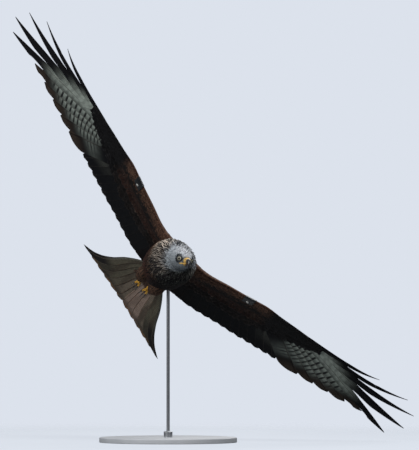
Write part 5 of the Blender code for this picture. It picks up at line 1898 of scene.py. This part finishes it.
class KitePlumage(PropertyGroup):
    """Sizes and colours of the bird that a user would change."""

    coat_depth: FloatProperty(
        name="Coat depth", description="How far the skin lies under the trunk's feathers", default=0.005,
        min=0.001, max=0.01, unit="LENGTH",
    )
    head_feather: FloatProperty(
        name="Head feather", description="Length of the smallest feathers, at the bill", default=0.0038,
        min=0.002, max=0.008, unit="LENGTH",
    )
    hackle: FloatProperty(
        name="Hackle", description="Length of the longest feathers round the neck", default=0.035,
        min=0.01, max=0.05, unit="LENGTH",
    )
    body_feather: FloatProperty(
        name="Body feather", description="Length of the feathers of the breast and back", default=0.026,
        min=0.01, max=0.05, unit="LENGTH",
    )
    iris: FloatVectorProperty(
        name="Iris", description="Colour of the iris", default=(0.4, 0.385, 0.3), min=0.0, max=1.0,
        subtype="COLOR",
    )
    cere: FloatVectorProperty(
        name="Cere", description="Colour of the cere and the gape", default=(0.74, 0.46, 0.12), min=0.0,
        max=1.0, subtype="COLOR",
    )
    window: FloatVectorProperty(
        name="Wing window", description="Colour of the pale window in the wing", default=(0.42, 0.475, 0.42),
        min=0.0, max=1.0, subtype="COLOR",
    )
    tail: FloatVectorProperty(
        name="Tail", description="Colour of the tail from above", default=(0.4, 0.15, 0.052), min=0.0,
        max=1.0, subtype="COLOR",
    )


class KiteStage(PropertyGroup):
    """Light and surroundings that a user would change."""

    sky: FloatVectorProperty(
        name="Sky", description="Colour of the pale world behind the bird", default=(0.716, 0.761, 0.839),
        min=0.0, max=1.0, subtype="COLOR",
    )
    sky_light: FloatProperty(
        name="Sky light", description="Strength of the world's even light on the bird", default=0.17,
        min=0.0, max=10.0,
    )
    key_power: FloatProperty(
        name="Key light", description="Power of the main soft light", default=75.0, min=0.0, unit="POWER"
    )
    floor_radius: FloatProperty(
        name="Floor", description="Radius of the floor, which fades out towards its edge", default=2.2,
        min=0.5, unit="LENGTH",
    )


class KITE_OT_materials(Operator):
    """Makes the node groups and the materials"""

    bl_idname = "kite.materials"
    bl_label = "Materials"

    def execute(self, context):
        make_materials()
        return {"FINISHED"}


class KITE_OT_skin(Operator):
    """Makes the one skin under the feathers, with the bare feet"""

    bl_idname = "kite.skin"
    bl_label = "Skin"

    def execute(self, context):
        build_skin(context.scene.kite_plumage)
        return {"FINISHED"}


class KITE_OT_head_feathers(Operator):
    """Lays the small feathers of the head"""

    bl_idname = "kite.head_feathers"
    bl_label = "Head feathers"

    def execute(self, context):
        build_head_feathers(context.scene.kite_plumage)
        return {"FINISHED"}


class KITE_OT_hackles(Operator):
    """Lays the pointed feathers round the neck"""

    bl_idname = "kite.hackles"
    bl_label = "Neck hackles"

    def execute(self, context):
        build_hackles(context.scene.kite_plumage)
        return {"FINISHED"}


class KITE_OT_body_feathers(Operator):
    """Lays the feathers of breast, back and tail base, and of the thighs"""

    bl_idname = "kite.body_feathers"
    bl_label = "Body feathers"

    def execute(self, context):
        build_body_feathers(context.scene.kite_plumage)
        for name, side in SIDES.items():
            build_scapulars(name, side)
            build_trousers(name, side)
        return {"FINISHED"}


class KITE_OT_wing_coverts(Operator):
    """Lays the coverts of both faces of each wing"""

    bl_idname = "kite.wing_coverts"
    bl_label = "Wing coverts"

    def execute(self, context):
        for name, side in SIDES.items():
            for face in (-1, 1):
                build_coverts(name, side, face)
        return {"FINISHED"}


class KITE_OT_flight_feathers(Operator):
    """Makes the primaries and secondaries"""

    bl_idname = "kite.flight_feathers"
    bl_label = "Flight feathers"

    def execute(self, context):
        for name, side in SIDES.items():
            build_primaries(name, side, context.scene.kite_plumage)
            build_secondaries(name, side)
        return {"FINISHED"}


class KITE_OT_tail(Operator):
    """Makes the forked tail"""

    bl_idname = "kite.tail"
    bl_label = "Tail"

    def execute(self, context):
        for name, side in SIDES.items():
            build_tail(name, side, context.scene.kite_plumage)
        return {"FINISHED"}


class KITE_OT_bill(Operator):
    """Makes the bill, the cere and the gape"""

    bl_idname = "kite.bill"
    bl_label = "Bill"

    def execute(self, context):
        build_bill(context.scene.kite_plumage)
        build_gape(context.scene.kite_plumage)
        return {"FINISHED"}


class KITE_OT_eyes(Operator):
    """Makes the eyes and their lids"""

    bl_idname = "kite.eyes"
    bl_label = "Eyes"

    def execute(self, context):
        build_eyes(context.scene.kite_plumage)
        return {"FINISHED"}


class KITE_OT_claws(Operator):
    """Makes the claws"""

    bl_idname = "kite.claws"
    bl_label = "Claws"

    def execute(self, context):
        build_claws()
        return {"FINISHED"}


class KITE_OT_tags(Operator):
    """Makes the bare tags on the wings"""

    bl_idname = "kite.tags"
    bl_label = "Wing tags"

    def execute(self, context):
        build_tags()
        return {"FINISHED"}


class KITE_OT_stand(Operator):
    """Makes the base and the rod"""

    bl_idname = "kite.stand"
    bl_label = "Stand"

    def execute(self, context):
        build_stand()
        return {"FINISHED"}


class KITE_OT_stage(Operator):
    """Makes the camera, the floor, the world and the lights"""

    bl_idname = "kite.stage"
    bl_label = "Stage"

    def execute(self, context):
        build_stage(context.scene.kite_stage)
        return {"FINISHED"}


STEPS = (
    KITE_OT_materials, KITE_OT_skin, KITE_OT_head_feathers, KITE_OT_hackles, KITE_OT_body_feathers,
    KITE_OT_wing_coverts, KITE_OT_flight_feathers, KITE_OT_tail, KITE_OT_bill, KITE_OT_eyes, KITE_OT_claws,
    KITE_OT_tags, KITE_OT_stand, KITE_OT_stage,
)


class KITE_PT_panel(Panel):
    """Lists the settings and the steps in the sidebar of the 3D view"""

    bl_idname = "KITE_PT_panel"
    bl_label = "Red Kite"
    bl_space_type = "VIEW_3D"
    bl_region_type = "UI"
    bl_category = "Kite"

    def draw(self, context):
        for group in (context.scene.kite_plumage, context.scene.kite_stage):
            for name in group.__annotations__:
                self.layout.prop(group, name)
        for step in STEPS:
            self.layout.operator(step.bl_idname)


CLASSES = (KitePlumage, KiteStage, *STEPS, KITE_PT_panel)


def register():
    for made in CLASSES:
        bpy.utils.register_class(made)
    bpy.types.Scene.kite_plumage = PointerProperty(type=KitePlumage)
    bpy.types.Scene.kite_stage = PointerProperty(type=KiteStage)


def unregister():
    del bpy.types.Scene.kite_plumage
    del bpy.types.Scene.kite_stage
    for made in reversed(CLASSES):
        bpy.utils.unregister_class(made)


def corners(box):
    return [[float(v) for v in corner] for corner in box]


def main():
    """Builds every piece in order."""
    register()
    for step in STEPS:
        group, name = step.bl_idname.split(".")
        getattr(getattr(bpy.ops, group), name)()


if __name__ == "__main__":
    main()
